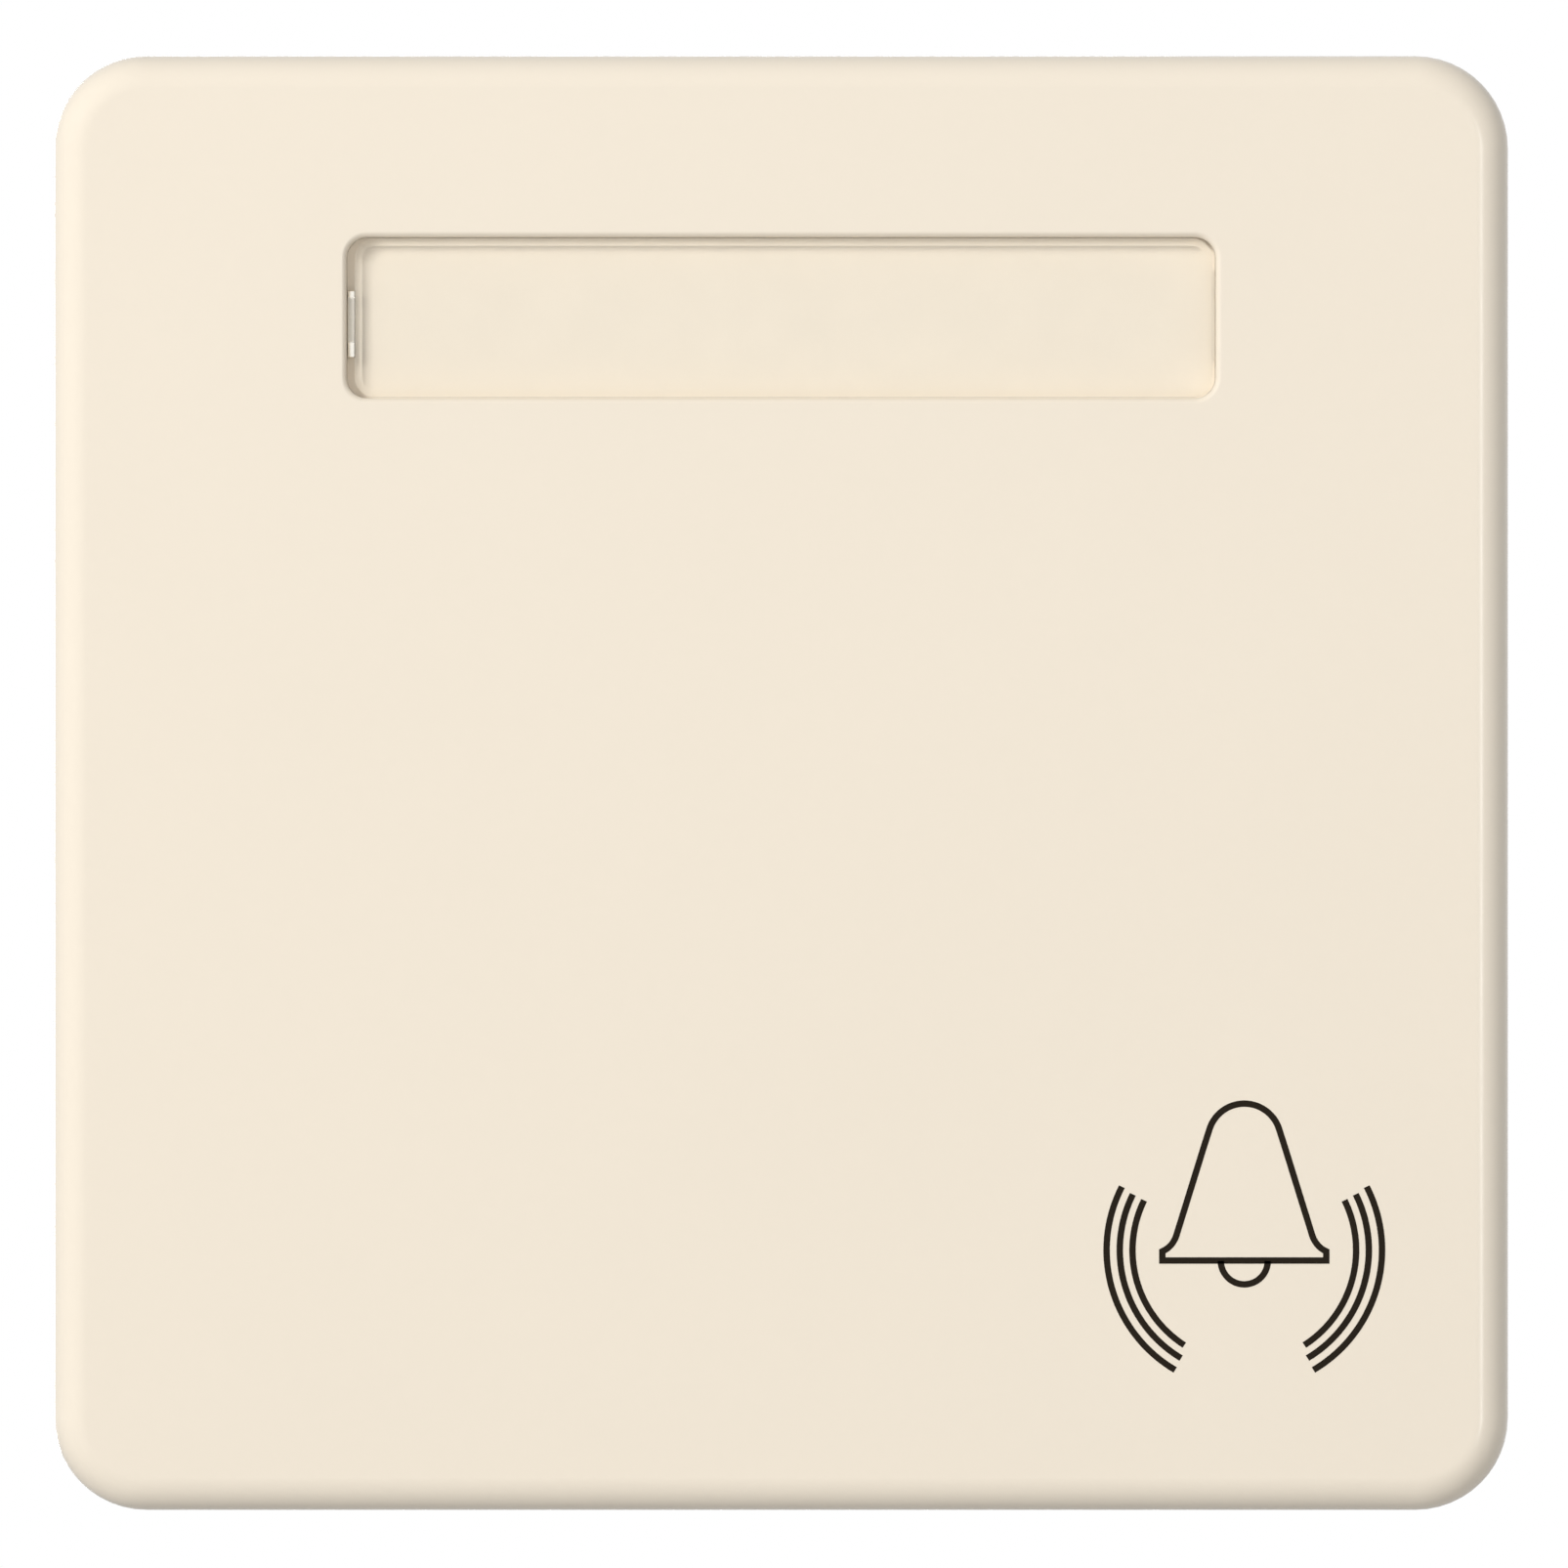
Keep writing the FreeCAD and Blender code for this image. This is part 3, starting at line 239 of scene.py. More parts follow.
def card(name, colour):
    """Thin cream film with faint pulp clouds and pressed marks."""
    finish = Finish(name)
    clouds = finish.noise(0.4, 5.0, 0.65)
    tone = finish.blend(finish.spread(clouds, 0.0, 1.0), shade(colour, 0.982), shade(colour, 1.012))
    relief = finish.bump(finish.noise(0.9, 4.0, 0.6), 0.02)
    relief = finish.bump(finish.noise(14.0, 5.0, 0.7), 0.002, relief)
    gloss = finish.spread(finish.noise(3.0, 3.0), 0.5, 0.62)
    return finish.close(finish.shader(tone, gloss, relief))


def ink(name, colour):
    """Pad-printed matt ink: almost black, with a slightly open film."""
    finish = Finish(name)
    film = finish.noise(12.0, 5.0, 0.7)
    tone = finish.blend(finish.spread(film, 0.0, 1.0), shade(colour, 0.8), shade(colour, 1.5))
    relief = finish.bump(film, 0.0008)
    gloss = finish.spread(film, 0.42, 0.58)
    return finish.close(finish.shader(tone, gloss, relief, Specular_IOR_Level=0.12))


CREAM = (0.885, 0.796, 0.664)
# Label cream, painted lighter than the plate's cream to paint out the shade that falls on it in its recess
# under the pane
LABEL_CREAM_PAINTED_LIGHTER = (0.945, 0.858, 0.735)
PALE_GREY = (0.70, 0.71, 0.70)
MID_GREY = (0.50, 0.51, 0.52)
BONE = (0.78, 0.77, 0.72)
ORANGE = (0.80, 0.26, 0.05)
ZINC = (0.66, 0.68, 0.70)
BLUED_STEEL = (0.50, 0.50, 0.49)
BRIGHT_STEEL = (0.72, 0.73, 0.72)
BRASS = (0.78, 0.57, 0.28)
BRASS_DULL = (0.66, 0.44, 0.2)
BRONZE = (0.76, 0.48, 0.30)
BRONZE_DULL = (0.6, 0.33, 0.19)
SILVER = (0.88, 0.87, 0.84)

finishes = {
    "plate_plastic": moulded("plate_finish", CREAM, 0.24, grain=0.0009, mottle=0.006),
    "label_card": card("label_finish", LABEL_CREAM_PAINTED_LIGHTER),
    "clear_plastic": clear_plastic("pane_finish"),
    "mechanism_plastic": moulded("mechanism_finish", PALE_GREY, 0.42, grain=0.002, scale=6.0),
    "housing_plastic": moulded("housing_finish", MID_GREY, 0.48, grain=0.003, scale=5.0, mottle=0.03),
    "plunger_plastic": moulded("plunger_finish", BONE, 0.34, grain=0.001),
    "lever_plastic": moulded("lever_finish", ORANGE, 0.38, grain=0.001),
    "zinc_steel": metal("zinc_finish", ZINC, 0.3, (0.6, 1, 9), 2.0, 0.12, 0.0012),
    "spring_steel": metal("spring_finish", BLUED_STEEL, 0.28, (1, 6, 1), 4.0, 0.1, 0.0008),
    "screw_steel": metal("screw_finish", BRIGHT_STEEL, 0.28, (1, 5, 1), 3.0, 0.1, 0.0008),
    "brass": metal("brass_finish", BRASS, 0.28, (1, 1, 7), 3.0, 0.1, 0.001, BRASS_DULL),
    "bronze": metal("bronze_finish", BRONZE, 0.28, (7, 1, 1), 3.0, 0.1, 0.001, BRONZE_DULL),
    "silver": metal("silver_finish", SILVER, 0.3, (1, 1, 1), 5.0, 0.15, 0.0012),
}
ink_finish = ink("sign_ink", (0.012, 0.008, 0.004))

# Carried-over solids: finishes, and small edge rounds on the hard pieces

EDGE_ROUND = {
    "rocker_cover": 0.08,
    "label_window": 0.03,
    "actuator": 0.12,
    "plunger": 0.1,
    "contact_bridge": 0.06,
    "support_ring": 0.08,
    "rivets": 0.25,
    "base_housing": 0.12,
    "housing_cover": 0.12,
    "moving_contact_left": 0.12,
    "moving_contact_right": 0.12,
    "fixed_contact_left": 0.12,
    "fixed_contact_right": 0.12,
    "busbar_left": 0.08,
    "busbar_right": 0.08,
    "release_lever_left": 0.15,
    "release_lever_right": 0.15,
    "claw_left": 0.1,
    "claw_right": 0.1,
}
WELD_REACH = 0.002
FLAT_WITHIN = 0.05
EDGE_ABOVE = 40
LABEL_SWELL = 0.07


def weld_corners(solid):
    """Join the corners that lie on each other."""
    solid.modifiers.new("weld", "WELD").merge_threshold = WELD_REACH * MM


def swell_label(solid):
    """Let the film's cut edge swell up to the wall of its recess."""
    weld_corners(solid)
    swell = solid.modifiers.new("swell", "DISPLACE")
    swell.mid_level = 0.0
    swell.strength = LABEL_SWELL * MM


def round_edges(solid, width):
    """Join each flat into one face, round the hard edges and shade the flats evenly."""
    weld_corners(solid)
    flats = solid.modifiers.new("join_flats", "DECIMATE")
    flats.decimate_type = "DISSOLVE"
    flats.angle_limit = math.radians(FLAT_WITHIN)
    bevel = solid.modifiers.new("edge_round", "BEVEL")
    bevel.width = width * MM
    bevel.segments = 2
    bevel.limit_method = "ANGLE"
    bevel.angle_limit = math.radians(EDGE_ABOVE)
    solid.modifiers.new("even_shading", "WEIGHTED_NORMAL")


for name, solid in nodes.items():
    slot = solid.material_slots[0].material.name.split(".")[0]
    solid.material_slots[0].material = finishes[slot]
    if name == "label_strip":
        swell_label(solid)
    if name in EDGE_ROUND:
        round_edges(solid, EDGE_ROUND[name])


# Pieces made here


def make_piece(name, points, faces, material, body):
    """Make a mesh piece from points in millimetres, and let it ride on a body."""
    mesh = bpy.data.meshes.new(name)
    mesh.from_pydata([Vector(point) * MM for point in points], [], faces)
    mesh.validate()
    mesh.update()
    piece = bpy.data.objects.new(name, mesh)
    bpy.context.scene.collection.objects.link(piece)
    mesh.materials.append(material)
    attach(piece, body)
    return piece


def smooth_by_angle(piece, degrees):
    """Smooth shading that keeps the edges sharper than an angle."""
    mesh = piece.data
    mesh.shade_smooth()
    mesh.set_sharp_from_angle(angle=math.radians(degrees))


def from_photo(x, y):
    """Turn a pixel of the photograph into X and Z on the plate's front."""
    return (x - PLATE_CENTRE_PX[0]) * PHOTO_SCALE, (PLATE_CENTRE_PX[1] - y) * PHOTO_SCALE


def arc(centre, radius, start, end, steps):
    """Points on an arc, in pixels with y down; angles from +X, anticlockwise as seen."""
    turn = [math.radians(start + (end - start) * step / steps) for step in range(steps + 1)]
    return [(centre[0] + radius * math.cos(a), centre[1] - radius * math.sin(a)) for a in turn]


MITRE_LIMIT = 0.35


def stroke(path, width, closed=False):
    """Side points of a line of even width along a path, mitred at its corners."""
    count = len(path)
    left, right = [], []
    for index, point in enumerate(path):
        here = Vector(point)
        before = Vector(path[index - 1]) if index or closed else None
        after = Vector(path[(index + 1) % count]) if index < count - 1 or closed else None
        steps = []
        if before:
            steps.append((here - before).normalized())
        if after:
            steps.append((after - here).normalized())
        normals = [Vector((-step.y, step.x)) for step in steps]
        mean = sum(normals, Vector((0, 0))).normalized()
        reach = width / 2 / max(MITRE_LIMIT, mean.dot(normals[0]))
        left.append(here + mean * reach)
        right.append(here - mean * reach)
    return left, right


def print_strokes(name, strokes, level, thick, material, body):
    """Raise strokes, drawn in photograph pixels, as a thin film on a level plane."""
    points, faces = [], []
    for path, width, closed in strokes:
        left, right = stroke([from_photo(*point) for point in path], width, closed)
        start = len(points)
        for side_left, side_right in zip(left, right):
            for place in (side_left, side_right):
                points.append((place[0], -level - thick, place[1]))
                points.append((place[0], -level + thick / 2, place[1]))
        count = len(left)
        for index in range(count if closed else count - 1):
            a = start + 4 * index
            b = start + 4 * ((index + 1) % count)
            faces += [(a, a + 2, b + 2, b), (a + 1, b + 1, b + 3, a + 3)]
            faces += [(a, b, b + 1, a + 1), (a + 2, a + 3, b + 3, b + 2)]
        if not closed:
            end = start + 4 * (count - 1)
            faces += [(start, start + 1, start + 3, start + 2), (end, end + 2, end + 3, end + 1)]
    return make_piece(name, points, faces, material, body)


# Bell sign, drawn in the photograph's pixels as its left half and a mirrored right half

INK_THICK = 0.012
LINE_MM = 0.31
AXIS_PX = 1273.0
CROWN_CENTRE = (AXIS_PX, 1166.5)
CROWN_RADIUS = 37.3
CROWN_END = 162.8
SIDE_TOP = (1237.2, 1155.4)
SIDE_SLOPE = 0.3096
SIDE_DROPS = (20, 50, 80)
FLARE = ((1204.6, 1260.5), (1201.0, 1275.0), (1189.2, 1280.2))
FLARE_STEPS = 8
LIP_END = (1189.2, 1289.6)
CLAPPER_CENTRE = (AXIS_PX, 1290.0)
CLAPPER_RADIUS = 24.0
WAVE_CENTRE = (1274.2, 1279.0)
WAVES = ((142.0, 152.8, 239.6), (128.5, 153.6, 239.2), (115.5, 153.8, 237.2))


def mirrored(path):
    return [(2 * AXIS_PX - x, y) for x, y in path]


def bell_outline():
    """Crown, straight side, flare and lip of the left half, then the same back up the right half."""
    left = arc(CROWN_CENTRE, CROWN_RADIUS, 90, CROWN_END, 14)
    left += [(SIDE_TOP[0] - SIDE_SLOPE * drop, SIDE_TOP[1] + drop) for drop in SIDE_DROPS]
    for step in range(FLARE_STEPS + 1):
        t = step / FLARE_STEPS
        weights = ((1 - t) ** 2, 2 * t * (1 - t), t * t)
        left.append(tuple(sum(w * point[axis] for w, point in zip(weights, FLARE)) for axis in (0, 1)))
    left.append(LIP_END)
    return left + mirrored(left[:0:-1])


def make_bell_sign():
    """Print the bell, its clapper and three sound waves on each side."""
    strokes = [(bell_outline(), LINE_MM, True)]
    strokes.append((arc(CLAPPER_CENTRE, CLAPPER_RADIUS, 180, 360, 24), LINE_MM, False))
    for radius, start, end in WAVES:
        wave = arc(WAVE_CENTRE, radius, start, end, 36)
        strokes.append((wave, LINE_MM, False))
        strokes.append((mirrored(wave), LINE_MM, False))
    print_strokes("bell_sign", strokes, PLATE_FRONT, INK_THICK, ink_finish, "rocker")


make_bell_sign()


# Claw screws: threaded shank, pan head and cross recess

SCREW_LOW, SCREW_HIGH = box_mm("claw_screw_right")
SCREW_ACROSS = round(joint_row("claw_screw_turn_right")["pos_m"][0] / MM, 2)
SCREW_HEAD_FRONT = SCREW_LOW[1]
SCREW_END = SCREW_HIGH[1]
THREAD_START = -0.4
THREAD_PITCH = 0.5
THREAD_CREST = 1.5
THREAD_ROOT = 1.2
TIP_RADIUS = 0.95
SPARE_TURNS = 2
CROSS_ENDS = ((-0.4, 1.82, 0.44), (1.15, 0.85, 0.26))
SCREW_SHARP_ABOVE = 35

# Depth and radius along the head's outline, from the middle of its front to the shank
HEAD_OUTLINE = (
    (-3.0, 0.5), (-2.99, 0.9), (-2.95, 1.4), (-2.86, 1.85), (-2.7, 2.25), (-2.47, 2.55), (-2.2, 2.72),
    (-1.9, 2.79), (-1.5, 2.8), (-1.12, 2.8), (-1.03, 2.76), (-1.0, 2.68), (-1.0, 1.62), (-0.93, 1.53),
    (-0.8, 1.48), (-0.6, 1.3),
)

# Share of a turn and radius, from root to crest
THREAD_STEPS = ((0.0, THREAD_ROOT), (0.12, THREAD_ROOT), (0.5, THREAD_CREST), (0.62, THREAD_CREST))


def thread_rows(column, columns):
    """Places along one lengthwise line of the thread, as depth and radius."""
    rows = []
    turns = int((SCREW_END - THREAD_START) / THREAD_PITCH) + 2 * SPARE_TURNS + 1
    for turn in range(turns):
        for share, radius in THREAD_STEPS:
            depth = THREAD_START + (turn - SPARE_TURNS + share + column / columns) * THREAD_PITCH
            if depth <= THREAD_START:
                rows.append((THREAD_START, THREAD_ROOT))
            elif depth >= SCREW_END:
                rows.append((SCREW_END, TIP_RADIUS))
            else:
                lead = THREAD_ROOT + (depth - THREAD_START)
                rows.append((depth, min(radius, lead, TIP_RADIUS + (SCREW_END - depth))))
    return rows


def screw_surface(columns=32):
    """Points and faces of a whole screw, in millimetres about its own axis."""
    points, faces, index_of = [], [], {}

    def corner(column, depth, radius):
        key = (column % columns, round(depth, 5))
        if key not in index_of:
            turn = 2 * math.pi * key[0] / columns
            index_of[key] = len(points)
            points.append((radius * math.cos(turn), depth, radius * math.sin(turn)))
        return index_of[key]

    def skin(first, second):
        for (a, b), (c, d) in zip(zip(first, first[1:]), zip(second, second[1:])):
            face = list(dict.fromkeys((a, b, d, c)))
            if len(face) > 2:
                faces.append(face)

    head = []
    for column in range(columns):
        turn = 2 * math.pi * column / columns
        line = []
        for depth, radius in HEAD_OUTLINE:
            line.append(len(points))
            points.append((radius * math.cos(turn), depth, radius * math.sin(turn)))
        head.append(line)
    shank = [[corner(column, *row) for row in thread_rows(column, columns)] for column in range(columns)]
    for column in range(columns - 1):
        skin(head[column] + shank[column][:1], head[column + 1] + shank[column + 1][:1])
        skin(shank[column], shank[column + 1])
    step = len(THREAD_STEPS)
    skin(head[-1] + shank[-1][:1], head[0] + shank[0][:1])
    skin(shank[-1][:-step], shank[0][step:])
    faces.append([line[0] for line in head])
    faces.append([line[-1] for line in shank])
    return points, faces


def cross_cutter():
    """Tapered cross that leaves the screw's recess, from before the head's front to its floor."""
    points, faces = [], []
    for past_front, long, wide in CROSS_ENDS:
        depth = SCREW_HEAD_FRONT + past_front
        arm = ((long, -wide), (long, wide), (wide, wide))
        for quarter in range(4):
            c, s = round(math.cos(quarter * math.pi / 2)), round(math.sin(quarter * math.pi / 2))
            points += [(c * x - s * z, depth, s * x + c * z) for x, z in arm]
    count = len(points) // 2
    faces += [list(range(count)), list(range(2 * count - 1, count - 1, -1))]
    faces += [(i, i + count, (i + 1) % count + count, (i + 1) % count) for i in range(count)]
    return points, faces


def plain_object(name, points, faces):
    """Object at one unit to the millimetre, with its faces turned outwards."""
    mesh = bpy.data.meshes.new(name)
    mesh.from_pydata(points, [], faces)
    shape = bmesh.new()
    shape.from_mesh(mesh)
    bmesh.ops.recalc_face_normals(shape, faces=shape.faces)
    shape.to_mesh(mesh)
    shape.free()
    made = bpy.data.objects.new(name, mesh)
    bpy.context.scene.collection.objects.link(made)
    return made


def drop_object(thing):
    mesh = thing.data
    bpy.data.objects.remove(thing)
    bpy.data.meshes.remove(mesh)


def make_screws():
    """Cut the recess into one screw, and put a copy of it on each side."""
    blank = plain_object("screw_blank", *screw_surface())
    cutter = plain_object("screw_cutter", *cross_cutter())
    cut = blank.modifiers.new("cross", "BOOLEAN")
    cut.operation = "DIFFERENCE"
    cut.solver = "EXACT"
    cut.object = cutter
    bpy.context.view_layer.update()
    whole = bpy.data.meshes.new_from_object(blank.evaluated_get(bpy.context.evaluated_depsgraph_get()))
    places = [tuple(vertex.co) for vertex in whole.vertices]
    faces = [tuple(polygon.vertices) for polygon in whole.polygons]
    drop_object(blank)
    drop_object(cutter)
    bpy.data.meshes.remove(whole)
    for side, across in (("left", -SCREW_ACROSS), ("right", SCREW_ACROSS)):
        moved = [(x + across, y, z) for x, y, z in places]
        name = "claw_screw_" + side
        steel = finishes["screw_steel"]
        screw = make_piece("threaded_screw_" + side, moved, faces, steel, name)
        smooth_by_angle(screw, SCREW_SHARP_ABOVE)
        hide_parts(name)


make_screws()


# Return spring: round wire with closed end turns

SPRING_LOW, SPRING_HIGH = box_mm("return_spring")
SPRING_UP = round((SPRING_LOW[2] + SPRING_HIGH[2]) / 2, 2)
SPRING_FRONT = 2.7
SPRING_BACK = 11.0
SPRING_RADIUS = 1.8
WIRE_RADIUS = 0.225
CLOSED_TURNS = 1.0
OPEN_TURNS = 4.0
CLOSED_SPACING = 1.02
WIRE_SHARP_ABOVE = 50


def spring_depth(turn):
    """Depth of the wire's middle after a number of turns: closed, open, closed."""
    near = SPRING_FRONT + WIRE_RADIUS
    far = SPRING_BACK - WIRE_RADIUS
    closed = 2 * WIRE_RADIUS * CLOSED_SPACING * CLOSED_TURNS
    if turn < CLOSED_TURNS:
        return near + closed * turn / CLOSED_TURNS
    if turn > CLOSED_TURNS + OPEN_TURNS:
        return far - closed * (2 * CLOSED_TURNS + OPEN_TURNS - turn) / CLOSED_TURNS
    share = (turn - CLOSED_TURNS) / OPEN_TURNS
    return near + closed + (far - near - 2 * closed) * share


def make_spring(steps=36, sides=12):
    """Sweep round wire along the spring's turns."""
    turns = OPEN_TURNS + 2 * CLOSED_TURNS
    count = int(turns * steps) + 1
    points, faces = [], []
    for step in range(count):
        turn = step / steps
        angle = 2 * math.pi * turn
        out = Vector((math.cos(angle), 0, math.sin(angle)))
        middle = out * SPRING_RADIUS + Vector((0, spring_depth(turn), SPRING_UP))
        for side in range(sides):
            around = 2 * math.pi * side / sides
            points.append(middle + (out * math.cos(around) + Vector((0, math.sin(around), 0))) * WIRE_RADIUS)
    for step in range(count - 1):
        for side in range(sides):
            a, b = step * sides + side, step * sides + (side + 1) % sides
            faces.append((a, b, b + sides, a + sides))
    faces.append(tuple(range(sides - 1, -1, -1)))
    faces.append(tuple(range((count - 1) * sides, count * sides)))
    steel = finishes["spring_steel"]
    spring = make_piece("round_wire_spring", points, faces, steel, "insert")
    smooth_by_angle(spring, WIRE_SHARP_ABOVE)
    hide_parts("return_spring")
    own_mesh(spring)


make_spring()


# Clamp springs: bent strips

LEAF_BOXES = {height: box_mm(f"clamp_spring_{height}_right") for height in ("lower", "upper")}
LEAF_LOW, LEAF_HIGH = LEAF_BOXES["upper"]
LEAF_BEND = 1.2
LEAF_HALF_THICK = 0.2
LEAF_OUT = LEAF_HIGH[0] - LEAF_HALF_THICK
LEAF_FRONT = LEAF_LOW[1]
LEAF_BEND_DEPTH = LEAF_HIGH[1] - LEAF_BEND - LEAF_HALF_THICK
LEAF_HALF_WIDE = (LEAF_HIGH[2] - LEAF_LOW[2]) / 2
LEAF_CUT = 0.06
TONGUE_ANGLE = 35.0
TONGUE_LONG = 7.4
LEAF_SHARP_ABOVE = 40


def leaf_stations(steps=24):
    """Middle line of the strip, as places and outward normals: leg, bend and tongue."""
    stations = [((LEAF_OUT, LEAF_FRONT), (1.0, 0.0))]
    centre = (LEAF_OUT - LEAF_BEND, LEAF_BEND_DEPTH)
    for step in range(steps + 1):
        turn = math.radians((180.0 - TONGUE_ANGLE) * step / steps)
        normal = (math.cos(turn), math.sin(turn))
        stations.append(((centre[0] + LEAF_BEND * normal[0], centre[1] + LEAF_BEND * normal[1]), normal))
    (x, y), normal = stations[-1]
    stations.append(((x - TONGUE_LONG * normal[1], y + TONGUE_LONG * normal[0]), normal))
    return stations


def make_clamp_springs():
    """Make the four strips, two on each side."""
    thick, wide, cut = LEAF_HALF_THICK, LEAF_HALF_WIDE, LEAF_CUT
    section = (
        (thick, wide - cut), (thick - cut, wide), (cut - thick, wide), (-thick, wide - cut),
        (-thick, cut - wide), (cut - thick, -wide), (thick - cut, -wide), (thick, cut - wide),
    )
    stations = leaf_stations()
    count = len(section)
    last = (len(stations) - 1) * count
    faces = [tuple(range(count)), tuple(range(last + count - 1, last - 1, -1))]
    for row in range(len(stations) - 1):
        for index in range(count):
            a, b = row * count + index, row * count + (index + 1) % count
            faces.append((a, a + count, b + count, b))
    steel = finishes["spring_steel"]
    for side, sign in (("left", -1), ("right", 1)):
        for height, (low, high) in LEAF_BOXES.items():
            up = (low[2] + high[2]) / 2
            points = [
                (sign * (x + across * nx), y + across * ny, up + z)
                for (x, y), (nx, ny) in stations for across, z in section
            ]
            turned = faces if sign > 0 else [face[::-1] for face in faces]
            name = f"leaf_spring_{height}_{side}"
            piece = make_piece(name, points, turned, steel, "insert")
            smooth_by_angle(piece, LEAF_SHARP_ABOVE)
            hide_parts(f"clamp_spring_{height}_{side}")
            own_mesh(piece)


make_clamp_springs()

# Stage, lamps and camera

FLOOR_LEVEL = -62.0
FLOOR_REACH = 330.0
FLOOR_CORNERS = 96
FLOOR_GREY = (0.66, 0.66, 0.66, 1.0)
FADE_FROM = 60.0
FADE_TO = 0.95 * FLOOR_REACH


def floor_finish():
    """Pale matt floor that fades to the white backdrop, and is clear from below."""
    finish = Finish("floor_finish")
    distance = finish.add("VectorMath", {0: finish.place}, operation="LENGTH").outputs["Value"]
    fade = finish.spread(distance, 0.5, 1.0, FADE_FROM, FADE_TO)
    rays = finish.add("LightPath").outputs
    seen = rays["Is Camera Ray"]
    for ray in ("Is Glossy Ray", "Is Transmission Ray"):
        seen = finish.add("Math", {0: seen, 1: rays[ray]}, operation="MAXIMUM").outputs[0]
    share = finish.add("Math", {0: fade, 1: seen}, operation="MULTIPLY").outputs[0]
    matt = finish.add("BsdfDiffuse", {"Color": FLOOR_GREY}).outputs[0]
    white = finish.add("Emission", {"Color": WHITE, "Strength": 1.0}).outputs[0]
    look = finish.add("MixShader", {0: share, 1: matt, 2: white}).outputs[0]
    below = finish.add("NewGeometry").outputs["Backfacing"]
    clear = finish.add("BsdfTransparent").outputs[0]
    return finish.close(finish.add("MixShader", {0: below, 1: look, 2: clear}))


def make_floor():
    """Round floor under the object, which keeps its shadow."""
    turns = [2 * math.pi * corner / FLOOR_CORNERS for corner in range(FLOOR_CORNERS)]
    ring = [Vector((FLOOR_REACH * math.cos(turn), FLOOR_REACH * math.sin(turn), 0.0)) for turn in turns]
    mesh = bpy.data.meshes.new("floor")
    mesh.from_pydata([point * MM for point in ring], [], [tuple(range(FLOOR_CORNERS))])
    mesh.materials.append(floor_finish())
    floor = bpy.data.objects.new("floor", mesh)
    floor.location = (0, 0, FLOOR_LEVEL * MM)
    bpy.context.scene.collection.objects.link(floor)


def make_lamp(name, azimuth, elevation, distance, size, level, target=(0.0, 0.0, 0.0)):
    """Area lamp aimed at the plate; level is the diffuse light that it gives a surface square to it."""
    lamp = bpy.data.lights.new(name, "AREA")
    lamp.shape = "RECTANGLE"
    lamp.size, lamp.size_y = size
    lamp.energy = level * math.pi ** 2 * distance ** 2
    holder = bpy.data.objects.new(name, lamp)
    a, e = math.radians(azimuth), math.radians(elevation)
    away = Vector((math.sin(a) * math.cos(e), -math.cos(a) * math.cos(e), math.sin(e)))
    holder.location = Vector(target) + away * distance
    holder.rotation_mode = "QUATERNION"
    holder.rotation_quaternion = away.to_track_quat("Z", "Y")
    holder.visible_camera = False
    holder.visible_transmission = False
    bpy.context.scene.collection.objects.link(holder)
    return holder


make_floor()
key_lamp = make_lamp("key_lamp", -38, 21, 1.2, (0.36, 0.26), 0.665)
key_lamp.visible_glossy = False
make_lamp("right_strip", 24, 0, 0.7, (0.02, 0.2), 0.08)
make_lamp("rear_lamp", 190, 0, 1.2, (0.5, 0.4), 0.35)

# Height up the dome, from straight down to straight up, and its brightness for diffuse rays
DOME = ((0.0, 0.32), (0.44, 0.54), (0.54, 0.54), (0.95, 0.24))


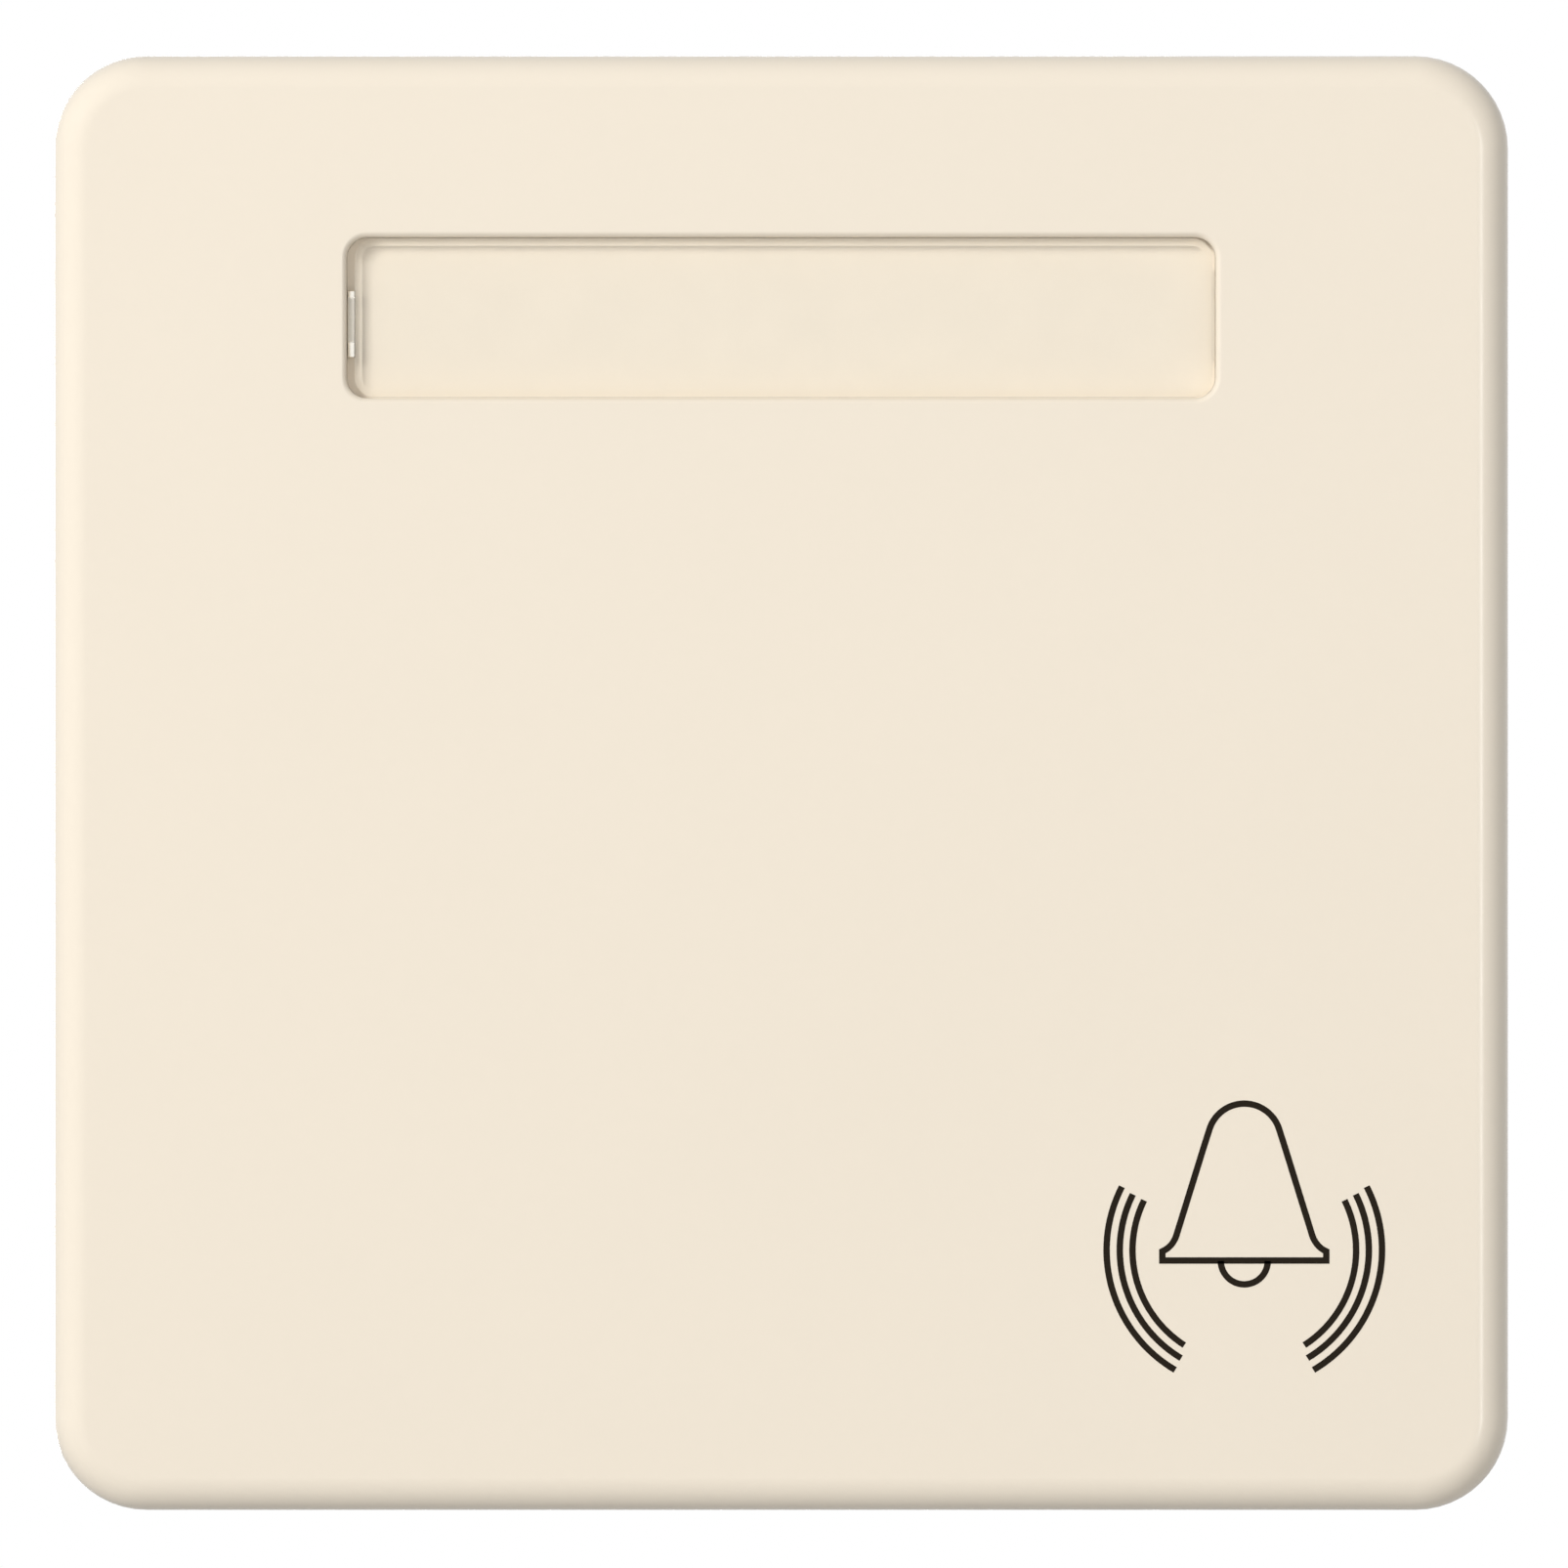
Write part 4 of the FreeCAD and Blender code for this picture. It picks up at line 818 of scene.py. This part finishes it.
def make_world():
    """White for the camera and for clear reflections; a soft grey dome as light."""
    world = bpy.data.worlds.new("studio")
    bpy.context.scene.world = world
    world.use_nodes = True
    tree = world.node_tree
    tree.nodes.clear()
    path = tree.nodes.new("ShaderNodeLightPath").outputs

    def combine(operation, *values):
        made = tree.nodes.new("ShaderNodeMath")
        made.operation = operation
        for index, value in enumerate(values):
            if isinstance(value, bpy.types.NodeSocket):
                tree.links.new(value, made.inputs[index])
            else:
                made.inputs[index].default_value = value
        return made.outputs[0]

    seen = combine("MAXIMUM", path["Is Camera Ray"], path["Is Glossy Ray"])
    seen = combine("MAXIMUM", seen, path["Is Transmission Ray"])
    seen = combine("MULTIPLY", seen, combine("LESS_THAN", path["Diffuse Depth"], 0.5))
    where = tree.nodes.new("ShaderNodeTexCoord")
    height = tree.nodes.new("ShaderNodeSeparateXYZ")
    tree.links.new(where.outputs["Generated"], height.inputs[0])
    dome = tree.nodes.new("ShaderNodeValToRGB")
    tree.links.new(combine("MULTIPLY_ADD", height.outputs["Z"], 0.5, 0.5), dome.inputs[0])
    ramp = dome.color_ramp.elements
    while len(ramp) < len(DOME):
        ramp.new(0.5)
    for step, (position, level) in zip(ramp, DOME):
        step.position = position
        step.color = (level, level, level, 1.0)
    gap = combine("SUBTRACT", 1.0, dome.outputs[0])
    strength = combine("ADD", combine("MULTIPLY", seen, gap), dome.outputs[0])
    background = tree.nodes.new("ShaderNodeBackground")
    background.inputs["Color"].default_value = WHITE
    tree.links.new(strength, background.inputs["Strength"])
    output = tree.nodes.new("ShaderNodeOutputWorld")
    tree.links.new(background.outputs[0], output.inputs["Surface"])


make_world()

CAMERA_AWAY = 1200.0
SENSOR_WIDTH = 36.0


def make_camera():
    """Camera square to the plate, at a chosen distance, with the plate as large as in the photograph."""
    outline_away = CAMERA_AWAY - (PLATE_FRONT - PLATE_EDGE_ROUND)
    camera_data = bpy.data.cameras.new("camera")
    camera_data.sensor_width = SENSOR_WIDTH
    camera_data.lens = SENSOR_WIDTH * outline_away / (PHOTO_SIDE * PHOTO_SCALE)
    camera = bpy.data.objects.new("camera", camera_data)
    across, up = from_photo(PHOTO_SIDE / 2, PHOTO_SIDE / 2)
    camera.location = Vector((across, -CAMERA_AWAY, up)) * MM
    camera.rotation_euler = (math.radians(90), 0, 0)
    bpy.context.scene.collection.objects.link(camera)
    bpy.context.scene.camera = camera


make_camera()
bpy.context.scene.view_settings.view_transform = "Standard"
